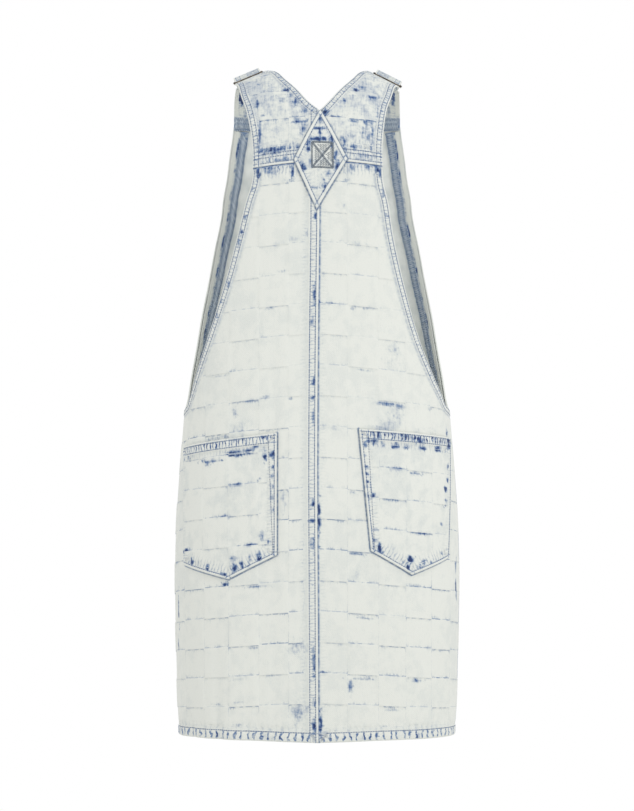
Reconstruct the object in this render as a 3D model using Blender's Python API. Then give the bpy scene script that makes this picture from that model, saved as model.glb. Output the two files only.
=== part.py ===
"""A sleeveless pinafore mini dress in basket-weave denim, worn on a general figure that isn't there.

Metres, +Z up. The back of the dress faces -Y. The origin is midway between the shoulders, at the height
of the cloth that lies on them. Every piece of cloth is cut flat in cloth coordinates and then laid on the
worn form: s runs round the body from the centre, and q runs up the cloth, in step with its woven rows.
"""

import math

import bmesh
import bpy
import numpy as np
from mathutils import Vector, geometry

MM = 0.001
GAP = 0.3 * MM
BACK, FRONT = -1, 1
LEFT, RIGHT = -1, 1

# The worn form: a rounded-off oval at each height, in mm.
SECTIONS = (
    # height, half_width, back_depth, front_depth
    (-862, 177.5, 118, 114),
    (-819, 180.0, 120, 116),
    (-767, 181.4, 121, 117),
    (-715, 182.7, 122, 117),
    (-611, 182.5, 121, 116),
    (-559, 180.0, 119, 115),
    (-507, 176.0, 114, 114),
    (-442, 170.5, 107, 113),
    (-360, 166.0, 101, 112),
    (-280, 162.0, 98, 112),
    (-200, 159.0, 97, 110),
    (-124, 157.0, 96, 102),
)
ROUNDNESS = 2.4
ARC_STEPS = 96
HEM = -862 * MM
ARMPIT = -442 * MM

# Above this height the cloth leans in and rolls over the shoulder.
SHOULDER_START = -124 * MM
SHOULDER_SLOPE = 0.42
SHOULDER_NECK = 72 * MM
ROLL_ROWS = [SHOULDER_START + k * 14 * MM for k in range(12)]

# The basket weave: blocks of the cloth, every second one raised.
BLOCK_WIDTH = 38 * MM
BLOCK_HEIGHT = 39 * MM
ROW_START = -153 * MM
BLOCK_RISE = 0.9 * MM
TURN_FROM = 50 * MM
STEP = 0.8 * MM
SNAP = STEP / 2
ROW_DROP = 24 * MM
DROP_POWER = 1.3
LEVEL_FROM = -700 * MM

# Layers, measured out from the middle of the panel cloth.
CLOTH_HALF = 0.6 * MM
BAND_RISE = 0.9 * MM
LAID_ON = 2.2 * MM
PATCH_LAID_ON = 2.4 * MM
PATCH_CLOTH = 1.2 * MM
PATCH_RIM_RISE = 0.6 * MM
FACING_OUT = -1.8 * MM
FACING_CLOTH = 1.0 * MM
STRAP_CLOTH = 1.6 * MM

# Soft folds where the skirt hangs, in mm: one row each, on both faces of the dress.
FOLDS = (
    # side, s, half_width, depth, top, bottom
    (BACK, -58, 15, -2.2, -470, -900),
    (BACK, -112, 17, 1.8, -620, -900),
    (BACK, 74, 18, -1.6, -560, -900),
    (BACK, 138, 16, 1.8, -650, -900),
    (BACK, -176, 16, -2.0, -640, -900),
    (FRONT, -70, 20, 2.2, -540, -900),
    (FRONT, 30, 18, -1.8, -600, -900),
    (FRONT, 118, 20, 2.0, -520, -900),
)

# Cut edges, in mm from the centre of the dress.
CENTRE_BACK = 2 * MM
BACK_ARMHOLE = (
    # height, left, right
    (-440.5, 169.6, 169.6),
    (-437.5, 167.3, 167.0),
    (-434, 165.0, 164.0),
    (-420, 161.0, 158.5),
    (-398, 155.0, 148.6),
    (-350, 139.6, 129.8),
    (-285, 118.8, 111.5),
    (-225, 102.5, 98.0),
    (-177, 90.5, 90.3),
    (-153, 83.0, 84.4),
)
YOKE_SEAM_END = (
    # height, left, right
    (-132, 81.0, 83.0),
)
YOKE_ARMHOLE = (
    # height, left, right
    (-110, 82.0, 83.0),
    (-89, 84.2, 84.4),
    (-59, 90.6, 89.0),
    (-41, 97.0, 95.4),
    (-22, 103.0, 103.0),
)
NECK = (
    # height, out from the centre back
    (-60, 0),
    (-48, 13),
    (-31, 28),
    (-18, 42),
    (-6, 56),
)
FRONT_ARMHOLE = (
    # height, half_width
    (-439, 170.0),
    (-429, 168.0),
    (-403, 164.4),
    (-363, 158.0),
    (-324, 152.0),
    (-270, 142.0),
    (-230, 135.0),
    (-190, 127.0),
    (-163, 124.0),
    (-137, 119.4),
    (-110, 116.2),
    (-84, 112.2),
    (-68, 110.0),
)
BIB_NECK = (
    # height, half_width
    (-68, 71),
    (-92, 62),
    (-104, 45),
    (-109, 20),
)
YOKE_SEAM = -124 * MM

EDGE_BAND = 10 * MM
HEM_BAND = 12 * MM
SEAM_LAP = 15 * MM
YOKE_LAP = 15 * MM
FACING_WIDTH = 20 * MM
FACING_INSET = 1.5 * MM
FACING_TOP = -103

# Patch pockets, corners in mm from the centre of the dress.
POCKETS = {
    "pocket_left": (
        # corner, x, height
        ("inner_top", -50.5, -470.5),
        ("outer_top", -168.5, -489.5),
        ("outer_bottom", -168.0, -640.0),
        ("point", -111.0, -656.0),
        ("inner_bottom", -50.5, -624.5),
    ),
    "pocket_right": (
        # corner, x, height
        ("inner_top", 52.5, -465.5),
        ("outer_top", 168.5, -478.0),
        ("outer_bottom", 166.0, -628.0),
        ("point", 119.0, -650.5),
        ("inner_bottom", 67.0, -617.0),
    ),
}
POCKET_GRID = 13 * MM
POCKET_MOUTH = 11 * MM
POCKET_RIM = 8 * MM
POCKET_ROW_START = ROW_START - 10 * MM

# Diamond crosspatch, corners in mm.
DIAMOND = (
    # x, height
    (4.0, -63.0),
    (-27.5, -124.0),
    (-0.5, -184.5),
    (39.0, -123.0),
)
DIAMOND_RIM = 3.5 * MM
DIAMOND_GRID = 16 * MM

# Strap slides: three bars of round wire, lying on the shoulders.
STRAP_INNER = 70 * MM
STRAP_OUTER = 106 * MM
STRAP_LOWER_END = -101 * MM
STRAP_SPREAD = 2 * MM
STRAP_GRID = 13 * MM
YOKE_END = 22 * MM
STRAP_END = 20 * MM
SLIDE_MIDDLE = 89 * MM
SLIDE_HALF_LENGTH = 20.5 * MM
BAR_SPACING = 12.4 * MM
MIDDLE_BAR = (-5.0 * MM, 3.6 * MM)
WIRE = 1.3 * MM
WIRE_SIDES = 6
BAR_CORNERS = 3.0 * MM
MIDDLE_WIRE = 1.1 * MM
MIDDLE_BAR_SHORT = 0.26 * MM
SLIDE_TILT = math.radians(14)
LOOP_CLOTH = 1.3 * MM
LOOP_STEPS = 2
LOOP_SHORT = 0.3 * MM

DENIM = (0.78, 0.81, 0.78, 1.0)
DENIM_SHADE = (0.70, 0.74, 0.76, 1.0)
FACING_GREY = (0.55, 0.58, 0.60, 1.0)
GUNMETAL = (0.09, 0.085, 0.08, 1.0)

for old in list(bpy.data.objects):
    bpy.data.objects.remove(old, do_unlink=True)


# ---------------------------------------------------------------- the worn form


def fair(value, table, column):
    """A column of a table of mm against height, read smoothly at heights in metres."""
    rows = sorted(table)
    at = np.array([row[0] for row in rows]) * MM
    level = np.array([row[column] for row in rows]) * MM
    slope = np.gradient(level, at)
    value = np.clip(value, at[0], at[-1])
    k = np.clip(np.searchsorted(at, value) - 1, 0, len(at) - 2)
    span = at[k + 1] - at[k]
    t = (value - at[k]) / span
    return (
        (1 + 2 * t) * (1 - t) ** 2 * level[k]
        + t * (1 - t) ** 2 * span * slope[k]
        + t * t * (3 - 2 * t) * level[k + 1]
        + t * t * (t - 1) * span * slope[k + 1]
    )


def quarter(side, height):
    """x, depth and arc length along a quarter of the section, from the centre to the side."""
    half_width = fair(height, SECTIONS, 1)[:, None]
    depth = fair(height, SECTIONS, 2 if side == BACK else 3)[:, None]
    turn = np.linspace(0, math.pi / 2, ARC_STEPS)[None, :]
    x = half_width * np.sin(turn) ** (2 / ROUNDNESS)
    y = depth * np.cos(turn) ** (2 / ROUNDNESS)
    run = np.hypot(np.diff(x, axis=1), np.diff(y, axis=1)).cumsum(axis=1)
    return x, y, np.hstack([np.zeros((len(run), 1)), run])


def girth(side, height):
    """Cloth length from the centre to the side seam at a height."""
    return quarter(side, np.atleast_1d(height))[2][:, -1]


def read_along(key, along, wanted):
    """Reads the rows of along where the rising rows of key reach wanted."""
    k = np.clip((key < wanted[:, None]).sum(axis=1) - 1, 0, key.shape[1] - 2)
    row = np.arange(len(k))
    share = (wanted - key[row, k]) / np.maximum(key[row, k + 1] - key[row, k], 1e-12)
    return along[row, k] + share * (along[row, k + 1] - along[row, k])


def ridge(x):
    """Height of the shoulder line above the shoulder's start."""
    return -SHOULDER_START - SHOULDER_SLOPE * np.maximum(np.abs(x) - SHOULDER_NECK, 0)


def lay(side, s, height):
    """Points of the worn form, s round the body and height up the cloth."""
    low = np.minimum(height, SHOULDER_START)
    across, depth, run = quarter(side, low)
    x = read_along(run, across, np.abs(s))
    y = read_along(run, depth, np.abs(s))
    rise = ridge(x)
    lean = np.maximum(height - SHOULDER_START, 0) / (0.5 * (rise + y))
    return np.stack(
        [np.sign(s) * x, side * y * np.cos(lean), low + rise * np.sin(lean)], axis=1
    )


def row_drop(side, s, q):
    """How far a woven row has dropped where it is s away from the centre."""
    level = np.clip((q - HEM) / (LEVEL_FROM - HEM), 0.1, 1)
    return ROW_DROP * level * (np.abs(s) / girth(side, q)) ** DROP_POWER


def fold(side, s, q):
    """How far the soft folds stand out or in."""
    out = np.zeros_like(s)
    for face, centre, half_width, depth, top, bottom in FOLDS:
        if face != side:
            continue
        down = np.clip((top * MM - q) / ((top - bottom) * MM), 0, 1)
        across = (s - centre * MM) / (half_width * MM)
        out += depth * MM * down * down * (3 - 2 * down) * np.exp(-across * across)
    return out


def worn(side, flat, lift):
    """Points of cloth worn on the form, lifted off the middle of the panel cloth."""
    s, q = np.array(flat, float).T
    height = q - row_drop(side, s, q)
    nudge = 0.5 * MM
    here = lay(side, s, height)
    along = lay(side, s + nudge, height) - lay(side, s - nudge, height)
    up = lay(side, s, height + nudge) - lay(side, s, height - nudge)
    out = -side * np.cross(along, up)
    out /= np.linalg.norm(out, axis=1)[:, None]
    return here + out * (np.asarray(lift) + fold(side, s, q))[:, None]


def flat_point(side, x, height):
    """The cloth coordinates of a point of the form, given across and up."""
    low = np.array([min(height, SHOULDER_START)])
    across, depth, run = quarter(side, low)
    s = read_along(across, run, np.array([abs(x)]))
    y = read_along(across, depth, np.array([abs(x)]))
    rise = ridge(np.array([x]))
    up = height
    if height > SHOULDER_START:
        share = min((height - SHOULDER_START) / rise[0], 0.9999)
        up = SHOULDER_START + math.asin(share) * 0.5 * (rise[0] + y[0])
    q = np.array([up])
    for _ in range(6):
        q = up + row_drop(side, s, q)
    return (math.copysign(s[0], x), q[0])


def edge(side, table, column, sign):
    """Cloth coordinates of a table of mm, from bottom to top."""
    rows = sorted(table)
    return [flat_point(side, sign * row[column] * MM, row[0] * MM) for row in rows]


def between(a, b, step):
    """Points from a to b, both left in, no further than step apart."""
    a, b = np.array(a), np.array(b)
    count = max(1, math.ceil(np.linalg.norm(b - a) / step))
    return [tuple(a + (b - a) * k / count) for k in range(count + 1)]


def joined(*runs, step=26 * MM):
    """One closed outline from runs of points, with long straights divided."""
    points = [p for run in runs for p in run]
    out = []
    for a, b in zip(points, points[1:] + points[:1]):
        if math.dist(a, b) > 1e-6:
            out += between(a, b, step)[:-1]
    return out


def beside(line, distance):
    """A line moved to its left by a distance."""
    points = np.array(line)
    run = np.gradient(points, axis=0)
    run /= np.linalg.norm(run, axis=1)[:, None]
    return [tuple(p) for p in points + distance * np.stack([-run[:, 1], run[:, 0]], axis=1)]


def away_from(flat, line):
    """Distance of each flat point from a line of points."""
    flat, line = np.array(flat), np.array(line)
    best = np.full(len(flat), 1e9)
    for a, b in zip(line[:-1], line[1:]):
        run = b - a
        share = np.clip(((flat - a) @ run) / (run @ run), 0, 1)
        best = np.minimum(best, np.linalg.norm(flat - a - share[:, None] * run, axis=1))
    return best


# ---------------------------------------------------------------- cloth solids


def weave(flat, width=BLOCK_WIDTH, start=ROW_START, centre=CENTRE_BACK):
    """Height of the basket weave's blocks, 0 or raised, with short slopes between."""
    s, q = np.array(flat).T

    def wave(distance, size):
        place = distance / size
        block = np.floor(place)
        to_line = np.minimum(place - block, block + 1 - place) * size
        return np.clip(to_line / STEP, 0, 1) * (1 - 2 * (block % 2))

    return BLOCK_RISE * 0.5 * (
        1 + wave(s - centre, width) * wave(q - start, BLOCK_HEIGHT)
    )


def weave_lines(outline, width=BLOCK_WIDTH, start=ROW_START, centre=CENTRE_BACK):
    """Lines that the raised blocks need inside an outline."""
    low, high = np.array(outline).min(axis=0) - 0.01, np.array(outline).max(axis=0) + 0.01
    lines = []
    for axis, size, origin in ((0, width, centre), (1, BLOCK_HEIGHT, start)):
        first = math.floor((low[axis] - origin) / size)
        last = math.ceil((high[axis] - origin) / size)
        for k in range(first, last + 1):
            places = [origin + k * size - STEP, origin + k * size + STEP]
            middle = origin + (k + 0.5) * size
            if axis == 0 and abs(middle) > TURN_FROM:
                places.append(middle)
            for place in places:
                if low[axis] < place < high[axis]:
                    a, b = list(low), list(high)
                    a[axis] = b[axis] = place
                    lines.append([tuple(a), tuple(b)])
    return lines + [[(low[0], q), (high[0], q)] for q in ROLL_ROWS if low[1] < q < high[1]]


def plain_lines(outline):
    """The lines of the cloth's plain inside, which every inner layer shares."""
    low, high = np.array(outline).min(axis=0) - 0.01, np.array(outline).max(axis=0) + 0.01
    half = BLOCK_WIDTH / 2
    places = [k * half for k in range(-16, 17) if abs(k * half) > TURN_FROM or k % 2 == 0]
    lines = [[(s, low[1]), (s, high[1])] for s in places if low[0] < s < high[0]]
    rows = [ROW_START - 2 * k * BLOCK_HEIGHT for k in range(12)] + ROLL_ROWS
    return lines + [[(low[0], q), (high[0], q)] for q in rows if low[1] < q < high[1]]


def grid_lines(outline, across, up):
    """Plain lines inside an outline, at about the given spacing."""
    low, high = np.array(outline).min(axis=0), np.array(outline).max(axis=0)
    lines = []
    for axis, step in ((0, across), (1, up)):
        count = max(1, round((high[axis] - low[axis]) / step))
        for k in range(1, count):
            a, b = list(low - 0.01), list(high + 0.01)
            a[axis] = b[axis] = low[axis] + (high[axis] - low[axis]) * k / count
            lines.append([tuple(a), tuple(b)])
    return lines


def cut(outline, lines):
    """Flat triangles inside an outline, divided along lines, and the runs of its edge."""
    points = [Vector(p) for p in outline]
    count = len(points)
    edges = [(k, (k + 1) % count) for k in range(count)]
    for line in lines:
        first = len(points)
        points += [Vector(p) for p in line]
        edges += [(k, k + 1) for k in range(first, len(points) - 1)]
    made = geometry.delaunay_2d_cdt(points, edges, [list(range(count))], 0, 1e-7)
    flat, origins = made[0], made[3]
    faces = [list(face) for face, source in zip(made[2], made[5]) if source]
    follow = {}
    for face in faces:
        for a, b in zip(face, face[1:] + face[:1]):
            follow[(a, b)] = True
    after = {a: b for a, b in follow if (b, a) not in follow}
    corner = {source: k for k, sources in enumerate(origins) for source in sources if source < count}
    runs = []
    for k in range(count):
        run = [corner[k]]
        while run[-1] != corner[(k + 1) % count]:
            run.append(after[run[-1]])
        runs.append(run)
    used = sorted({k for face in faces for k in face})
    number = {k: n for n, k in enumerate(used)}
    flat = [tuple(flat[k]) for k in used]
    return (
        flat,
        [[number[k] for k in face] for face in faces],
        [[number[k] for k in run] for run in runs],
    )


def counter_clockwise(outline):
    """The outline, turned round if it runs clockwise."""
    area = sum(a[0] * b[1] - b[0] * a[1] for a, b in zip(outline, outline[1:] + outline[:1]))
    return outline if area > 0 else outline[::-1]


def cloth(name, side, outline, outer, inner, outer_lines, inner_lines, colour):
    """A wall of cloth with that outline: outer and inner give the lift of flat points."""
    outline = counter_clockwise(outline)
    top, top_faces, top_runs = cut(outline, outer_lines)
    under, under_faces, under_runs = cut(outline, inner_lines)
    points = np.vstack([worn(side, top, outer(top)), worn(side, under, inner(under))])
    shift = len(top)
    faces = list(top_faces)
    faces += [[shift + k for k in face][::-1] for face in under_faces]
    for run, under_run in zip(top_runs, under_runs):
        faces.append(run[::-1] + [shift + k for k in under_run])
    if side == FRONT:
        faces = [face[::-1] for face in faces]
    return solid(name, points, faces, colour)


def solid(name, points, faces, colour, metallic=0.0, roughness=0.85):
    """A mesh object with its own material."""
    mesh = bpy.data.meshes.new(name)
    mesh.from_pydata([tuple(map(float, p)) for p in points], [], faces)
    mesh.validate()
    form = bmesh.new()
    form.from_mesh(mesh)
    bmesh.ops.triangulate(form, faces=form.faces[:])
    form.to_mesh(mesh)
    form.free()
    piece = bpy.data.objects.new(name, mesh)
    bpy.context.scene.collection.objects.link(piece)
    finish = bpy.data.materials.new(name + "_finish")
    finish.use_nodes = True
    shader = finish.node_tree.nodes["Principled BSDF"]
    shader.inputs["Base Color"].default_value = colour
    shader.inputs["Metallic"].default_value = metallic
    shader.inputs["Roughness"].default_value = roughness
    mesh.materials.append(finish)
    return piece


def level(lift):
    """The same lift everywhere."""
    return lambda flat: np.full(len(flat), lift)


# ---------------------------------------------------------------- panels


def side_seam(side, sign, top):
    """The side seam in cloth coordinates, from the hem up."""
    heights = np.arange(HEM, top + 1e-9, (top - HEM) / 12)
    seam = []
    for height in heights:
        around = girth(side, np.array([height]))[0] - GAP / 2
        q = np.array([height])
        for _ in range(6):
            q = height + row_drop(side, np.array([around]), q)
        seam.append((sign * around, q[0]))
    return seam


def hem_line(side, start, end):
    """The hem, level all round, in cloth coordinates."""
    line = []
    for s, _ in between((start, 0), (end, 0), BLOCK_WIDTH / 2):
        q = np.array([HEM])
        for _ in range(6):
            q = HEM + row_drop(side, np.array([s]), q)
        line.append((s, q[0]))
    return line


def back_panel(name, sign):
    """Half of the back, from hem to yoke seam; the left half carries the centre seam's lap."""
    centre = CENTRE_BACK + sign * GAP / 2
    seam = side_seam(BACK, sign, ARMPIT)
    hem = hem_line(BACK, centre, seam[0][0])
    column = 1 if sign == LEFT else 2
    armhole = [seam[-1]] + edge(BACK, BACK_ARMHOLE, column, sign)
    armhole += edge(BACK, YOKE_SEAM_END, column, sign)
    corner = (armhole[-1][0], YOKE_SEAM - GAP)
    outline = joined(hem, seam[1:], armhole[1:-1], [corner], [(centre, YOKE_SEAM - GAP)])
    armhole[-1] = corner
    hem_top = [(s, q + HEM_BAND) for s, q in hem]

    def lift(flat):
        out = weave(flat)
        s, q = np.array(flat).T
        near_edge = away_from(flat, armhole) < EDGE_BAND + SNAP
        near_hem = away_from(flat, hem) < HEM_BAND + SNAP
        raised = near_edge | near_hem
        if sign == LEFT:
            raised |= s > CENTRE_BACK - SEAM_LAP - SNAP
        return CLOTH_HALF + np.where(raised, BAND_RISE, out)

    bands = [beside(armhole, sign * EDGE_BAND), beside(armhole, sign * (EDGE_BAND + STEP))]
    bands += [hem_top, [(s, q + STEP) for s, q in hem_top]]
    if sign == LEFT:
        for place in (CENTRE_BACK - SEAM_LAP, CENTRE_BACK - SEAM_LAP - STEP):
            bands.append([(place, HEM - 0.01), (place, YOKE_SEAM + 0.01)])
    plain = plain_lines(outline)
    lines = weave_lines(outline) + bands
    return cloth(name, BACK, outline, lift, level(-CLOTH_HALF), lines, plain, DENIM)


def front_panel():
    """The front with its bib, in one piece."""
    sides = {sign: side_seam(FRONT, sign, ARMPIT) for sign in (LEFT, RIGHT)}
    hem = hem_line(FRONT, sides[LEFT][0][0], sides[RIGHT][0][0])
    holes = {sign: [sides[sign][-1]] + edge(FRONT, FRONT_ARMHOLE, 1, sign) for sign in (LEFT, RIGHT)}
    neck = {sign: edge(FRONT, BIB_NECK, 1, sign)[::-1] for sign in (LEFT, RIGHT)}
    outline = joined(
        hem, sides[RIGHT][1:], holes[RIGHT][1:], neck[RIGHT], neck[LEFT][::-1],
        holes[LEFT][:0:-1], sides[LEFT][:0:-1],
    )
    hem_top = [(s, q + HEM_BAND) for s, q in hem]

    def lift(flat):
        raised = away_from(flat, hem) < HEM_BAND + SNAP
        for sign in (LEFT, RIGHT):
            raised |= away_from(flat, holes[sign]) < EDGE_BAND + SNAP
        return CLOTH_HALF + np.where(raised, BAND_RISE, weave(flat, centre=0))

    bands = [hem_top, [(s, q + STEP) for s, q in hem_top]]
    for sign in (LEFT, RIGHT):
        bands += [beside(holes[sign], sign * EDGE_BAND), beside(holes[sign], sign * (EDGE_BAND + STEP))]
    plain = plain_lines(outline)
    lines = weave_lines(outline, centre=0) + bands
    return cloth("front_panel", FRONT, outline, lift, level(-CLOTH_HALF), lines, plain, DENIM)


def back_yoke(name, sign):
    """Half of the yoke with its strap, from the yoke seam up to the strap slide."""
    centre = CENTRE_BACK + sign * GAP / 2
    column = 1 if sign == LEFT else 2
    low = edge(BACK, YOKE_SEAM_END, column, sign)[0]
    armhole = [(low[0], YOKE_SEAM)] + edge(BACK, YOKE_ARMHOLE, column, sign)
    neck = [
        flat_point(BACK, centre + sign * out * MM, height * MM) for height, out in NECK
    ]
    end = strap_end_line(sign)
    outline = joined([(centre, YOKE_SEAM)], armhole, end, neck[::-1])
    armhole.append(end[0])
    neck.append(end[-1])

    def lift(flat):
        s, q = np.array(flat).T
        raised = away_from(flat, armhole) < EDGE_BAND + SNAP
        raised |= away_from(flat, neck) < EDGE_BAND + SNAP
        raised |= q < YOKE_SEAM + YOKE_LAP + SNAP
        return CLOTH_HALF + np.where(raised, BAND_RISE, weave(flat))

    bands = []
    for wide in (EDGE_BAND, EDGE_BAND + STEP):
        bands += [beside(armhole, sign * wide), beside(neck, -sign * wide)]
    for up in (YOKE_LAP, YOKE_LAP + STEP):
        bands.append([(-0.2, YOKE_SEAM + up), (0.2, YOKE_SEAM + up)])
    lines = weave_lines(outline) + bands
    plain = plain_lines(outline)
    return cloth(name, BACK, outline, lift, level(-CLOTH_HALF), lines, plain, DENIM)


def over_shoulder(side, x, reach):
    """Cloth coordinates of a point near the shoulder line, reach away from it."""
    s, _ = flat_point(side, x, SHOULDER_START)
    depth = abs(lay(side, np.array([s]), np.array([SHOULDER_START]))[0, 1])
    lean = math.acos(reach / depth)
    up = SHOULDER_START + lean * 0.5 * (ridge(np.array([x]))[0] + depth)
    q = np.array([up])
    for _ in range(6):
        q = up + row_drop(side, np.array([s]), q)
    return (s, q[0])


def strap_end_line(sign):
    """Where the yoke's strap ends, just short of the slide, from its outer to its inner edge."""
    return [over_shoulder(BACK, sign * x, YOKE_END) for x in (STRAP_OUTER, STRAP_INNER)]


def front_strap(name, sign):
    """The strap from inside the bib up to the slide."""
    low = [flat_point(FRONT, sign * x, STRAP_LOWER_END) for x in (STRAP_INNER, STRAP_OUTER + STRAP_SPREAD)]
    top = [over_shoulder(FRONT, sign * x, STRAP_END) for x in (STRAP_OUTER, STRAP_INNER)]
    outline = joined(low, top, step=STRAP_GRID)
    lines = grid_lines(outline, STRAP_GRID, STRAP_GRID)
    outer = level(FACING_OUT)
    inner = level(FACING_OUT - STRAP_CLOTH)
    return cloth(name, FRONT, outline, outer, inner, lines, lines, DENIM_SHADE)


def armhole_facing(name, sign):
    """The turned edge of the front's armhole, on its inside."""
    seam = side_seam(FRONT, sign, ARMPIT)
    hole = [seam[-1]] + [
        p for p, row in zip(edge(FRONT, FRONT_ARMHOLE, 1, sign), sorted(FRONT_ARMHOLE)) if row[0] < FACING_TOP
    ]
    near = beside(hole, sign * FACING_INSET)
    far = beside(hole, sign * (FACING_INSET + FACING_WIDTH))
    outline = joined(near, far[::-1])
    lines = plain_lines(outline)
    return cloth(
        name, FRONT, outline, level(FACING_OUT), level(FACING_OUT - FACING_CLOTH), lines, lines, FACING_GREY
    )


# ---------------------------------------------------------------- laid on


def pocket(name):
    """A five-sided patch pocket with a raised mouth hem and edges."""
    corners = {corner: flat_point(BACK, x * MM, height * MM) for corner, x, height in POCKETS[name]}
    order = [row[0] for row in POCKETS[name]]
    points = [corners[corner] for corner in order]
    outline = joined(points, step=POCKET_GRID)
    mouth = [corners["inner_top"], corners["outer_top"]]
    rim = [corners[c] for c in ("outer_top", "outer_bottom", "point", "inner_bottom", "inner_top")]
    turn = 1 if name == "pocket_left" else -1

    def lift(flat):
        raised = away_from(flat, mouth) < POCKET_MOUTH + SNAP
        raised |= away_from(flat, rim) < POCKET_RIM + SNAP
        out = weave(flat, start=POCKET_ROW_START)
        return LAID_ON + PATCH_CLOTH + np.where(raised, BAND_RISE, out)

    bands = []
    for wide in (POCKET_MOUTH, POCKET_MOUTH + STEP):
        bands.append(beside(mouth, turn * wide))
    for a, b in zip(rim[:-1], rim[1:]):
        for wide in (POCKET_RIM, POCKET_RIM + STEP):
            bands.append(beside([a, b], turn * wide))
    lines = weave_lines(outline, start=POCKET_ROW_START) + bands
    even = grid_lines(outline, POCKET_GRID, 3 * POCKET_GRID)
    lines += even
    return cloth(name, BACK, outline, lift, level(LAID_ON), lines, even, DENIM)


def diamond_patch():
    """The crosspatch over the centre of the yoke seam, with a raised rim."""
    points = [flat_point(BACK, x * MM, height * MM) for x, height in DIAMOND]
    outline = joined(points, step=DIAMOND_GRID)
    closed = points + points[:1]

    def lift(flat):
        raised = away_from(flat, closed) < DIAMOND_RIM + SNAP
        return PATCH_LAID_ON + PATCH_CLOTH + np.where(raised, PATCH_RIM_RISE, 0)

    bands = []
    for a, b in zip(closed[:-1], closed[1:]):
        for wide in (DIAMOND_RIM, DIAMOND_RIM + STEP):
            bands.append(beside([a, b], wide))
    even = grid_lines(outline, DIAMOND_GRID, DIAMOND_GRID)
    return cloth("diamond_patch", BACK, outline, lift, level(PATCH_LAID_ON), even + bands, even, DENIM)


# ---------------------------------------------------------------- strap slides


def shoulder_frame(sign):
    """A point of the shoulder line, and directions along it, to the front and off the cloth."""
    drop = SHOULDER_SLOPE * (SLIDE_MIDDLE - SHOULDER_NECK)
    origin = Vector((sign * SLIDE_MIDDLE, 0, -drop))
    out = Vector((sign, 0, -SHOULDER_SLOPE)).normalized()
    fore = Vector((0, 1, 0))
    return origin, out, fore, out.cross(fore) * sign


def tube(path, radius, closed):
    """Rings of a round wire along a path in a plane, and its faces."""
    count = len(path)
    points, faces = [], []
    for k, here in enumerate(path):
        before = path[(k - 1) % count] if closed or k else here
        after = path[(k + 1) % count] if closed or k < count - 1 else here
        run = (after - before).normalized()
        up = Vector((0, 0, 1))
        across = run.cross(up).normalized()
        for side in range(WIRE_SIDES):
            turn = 2 * math.pi * side / WIRE_SIDES
            points.append(here + radius * (math.cos(turn) * across + math.sin(turn) * up))
    rings = count if closed else count - 1
    for k in range(rings):
        a, b = k * WIRE_SIDES, ((k + 1) % count) * WIRE_SIDES
        for side in range(WIRE_SIDES):
            other = (side + 1) % WIRE_SIDES
            faces.append([a + side, b + side, b + other, a + other])
    if not closed:
        faces.append(list(range(WIRE_SIDES)))
        faces.append([(count - 1) * WIRE_SIDES + k for k in range(WIRE_SIDES)][::-1])
    return points, faces


def strap_slide(name, sign):
    """A rounded rectangle of wire with a middle bar, joined into one body."""
    origin, out, front, up = shoulder_frame(sign)
    origin = origin + MIDDLE_BAR[0] * front + MIDDLE_BAR[1] * up
    fore = math.cos(SLIDE_TILT) * front + math.sin(SLIDE_TILT) * up
    off = math.cos(SLIDE_TILT) * up - math.sin(SLIDE_TILT) * front
    corner = BAR_CORNERS
    path = []
    for u, v, start in ((1, 1, 0), (-1, 1, 90), (-1, -1, 180), (1, -1, 270)):
        centre = Vector((u * (SLIDE_HALF_LENGTH - corner), v * (BAR_SPACING - corner), 0))
        for k in range(4):
            turn = math.radians(start + 30 * k)
            path.append(centre + corner * Vector((math.cos(turn), math.sin(turn), 0)))
    frame, frame_faces = tube(path, WIRE, True)
    bar = [Vector((u * (SLIDE_HALF_LENGTH - MIDDLE_BAR_SHORT), 0, 0)) for u in (-1, 1)]
    middle, middle_faces = tube(bar, MIDDLE_WIRE, False)

    def settle(p):
        return origin + p.x * out + p.y * fore + p.z * off

    ring = solid(name, [settle(p) for p in frame], frame_faces, GUNMETAL, 1.0, 0.4)
    rod = solid(name + "_bar", [settle(p) for p in middle], middle_faces, GUNMETAL, 1.0, 0.4)
    for piece in (ring, rod):
        form = bmesh.new()
        form.from_mesh(piece.data)
        bmesh.ops.recalc_face_normals(form, faces=form.faces[:])
        form.to_mesh(piece.data)
        form.free()
    union = ring.modifiers.new("middle bar", "BOOLEAN")
    union.operation = "UNION"
    union.object = rod
    rod.hide_render = True
    rod.display_type = "WIRE"
    return ring


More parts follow.
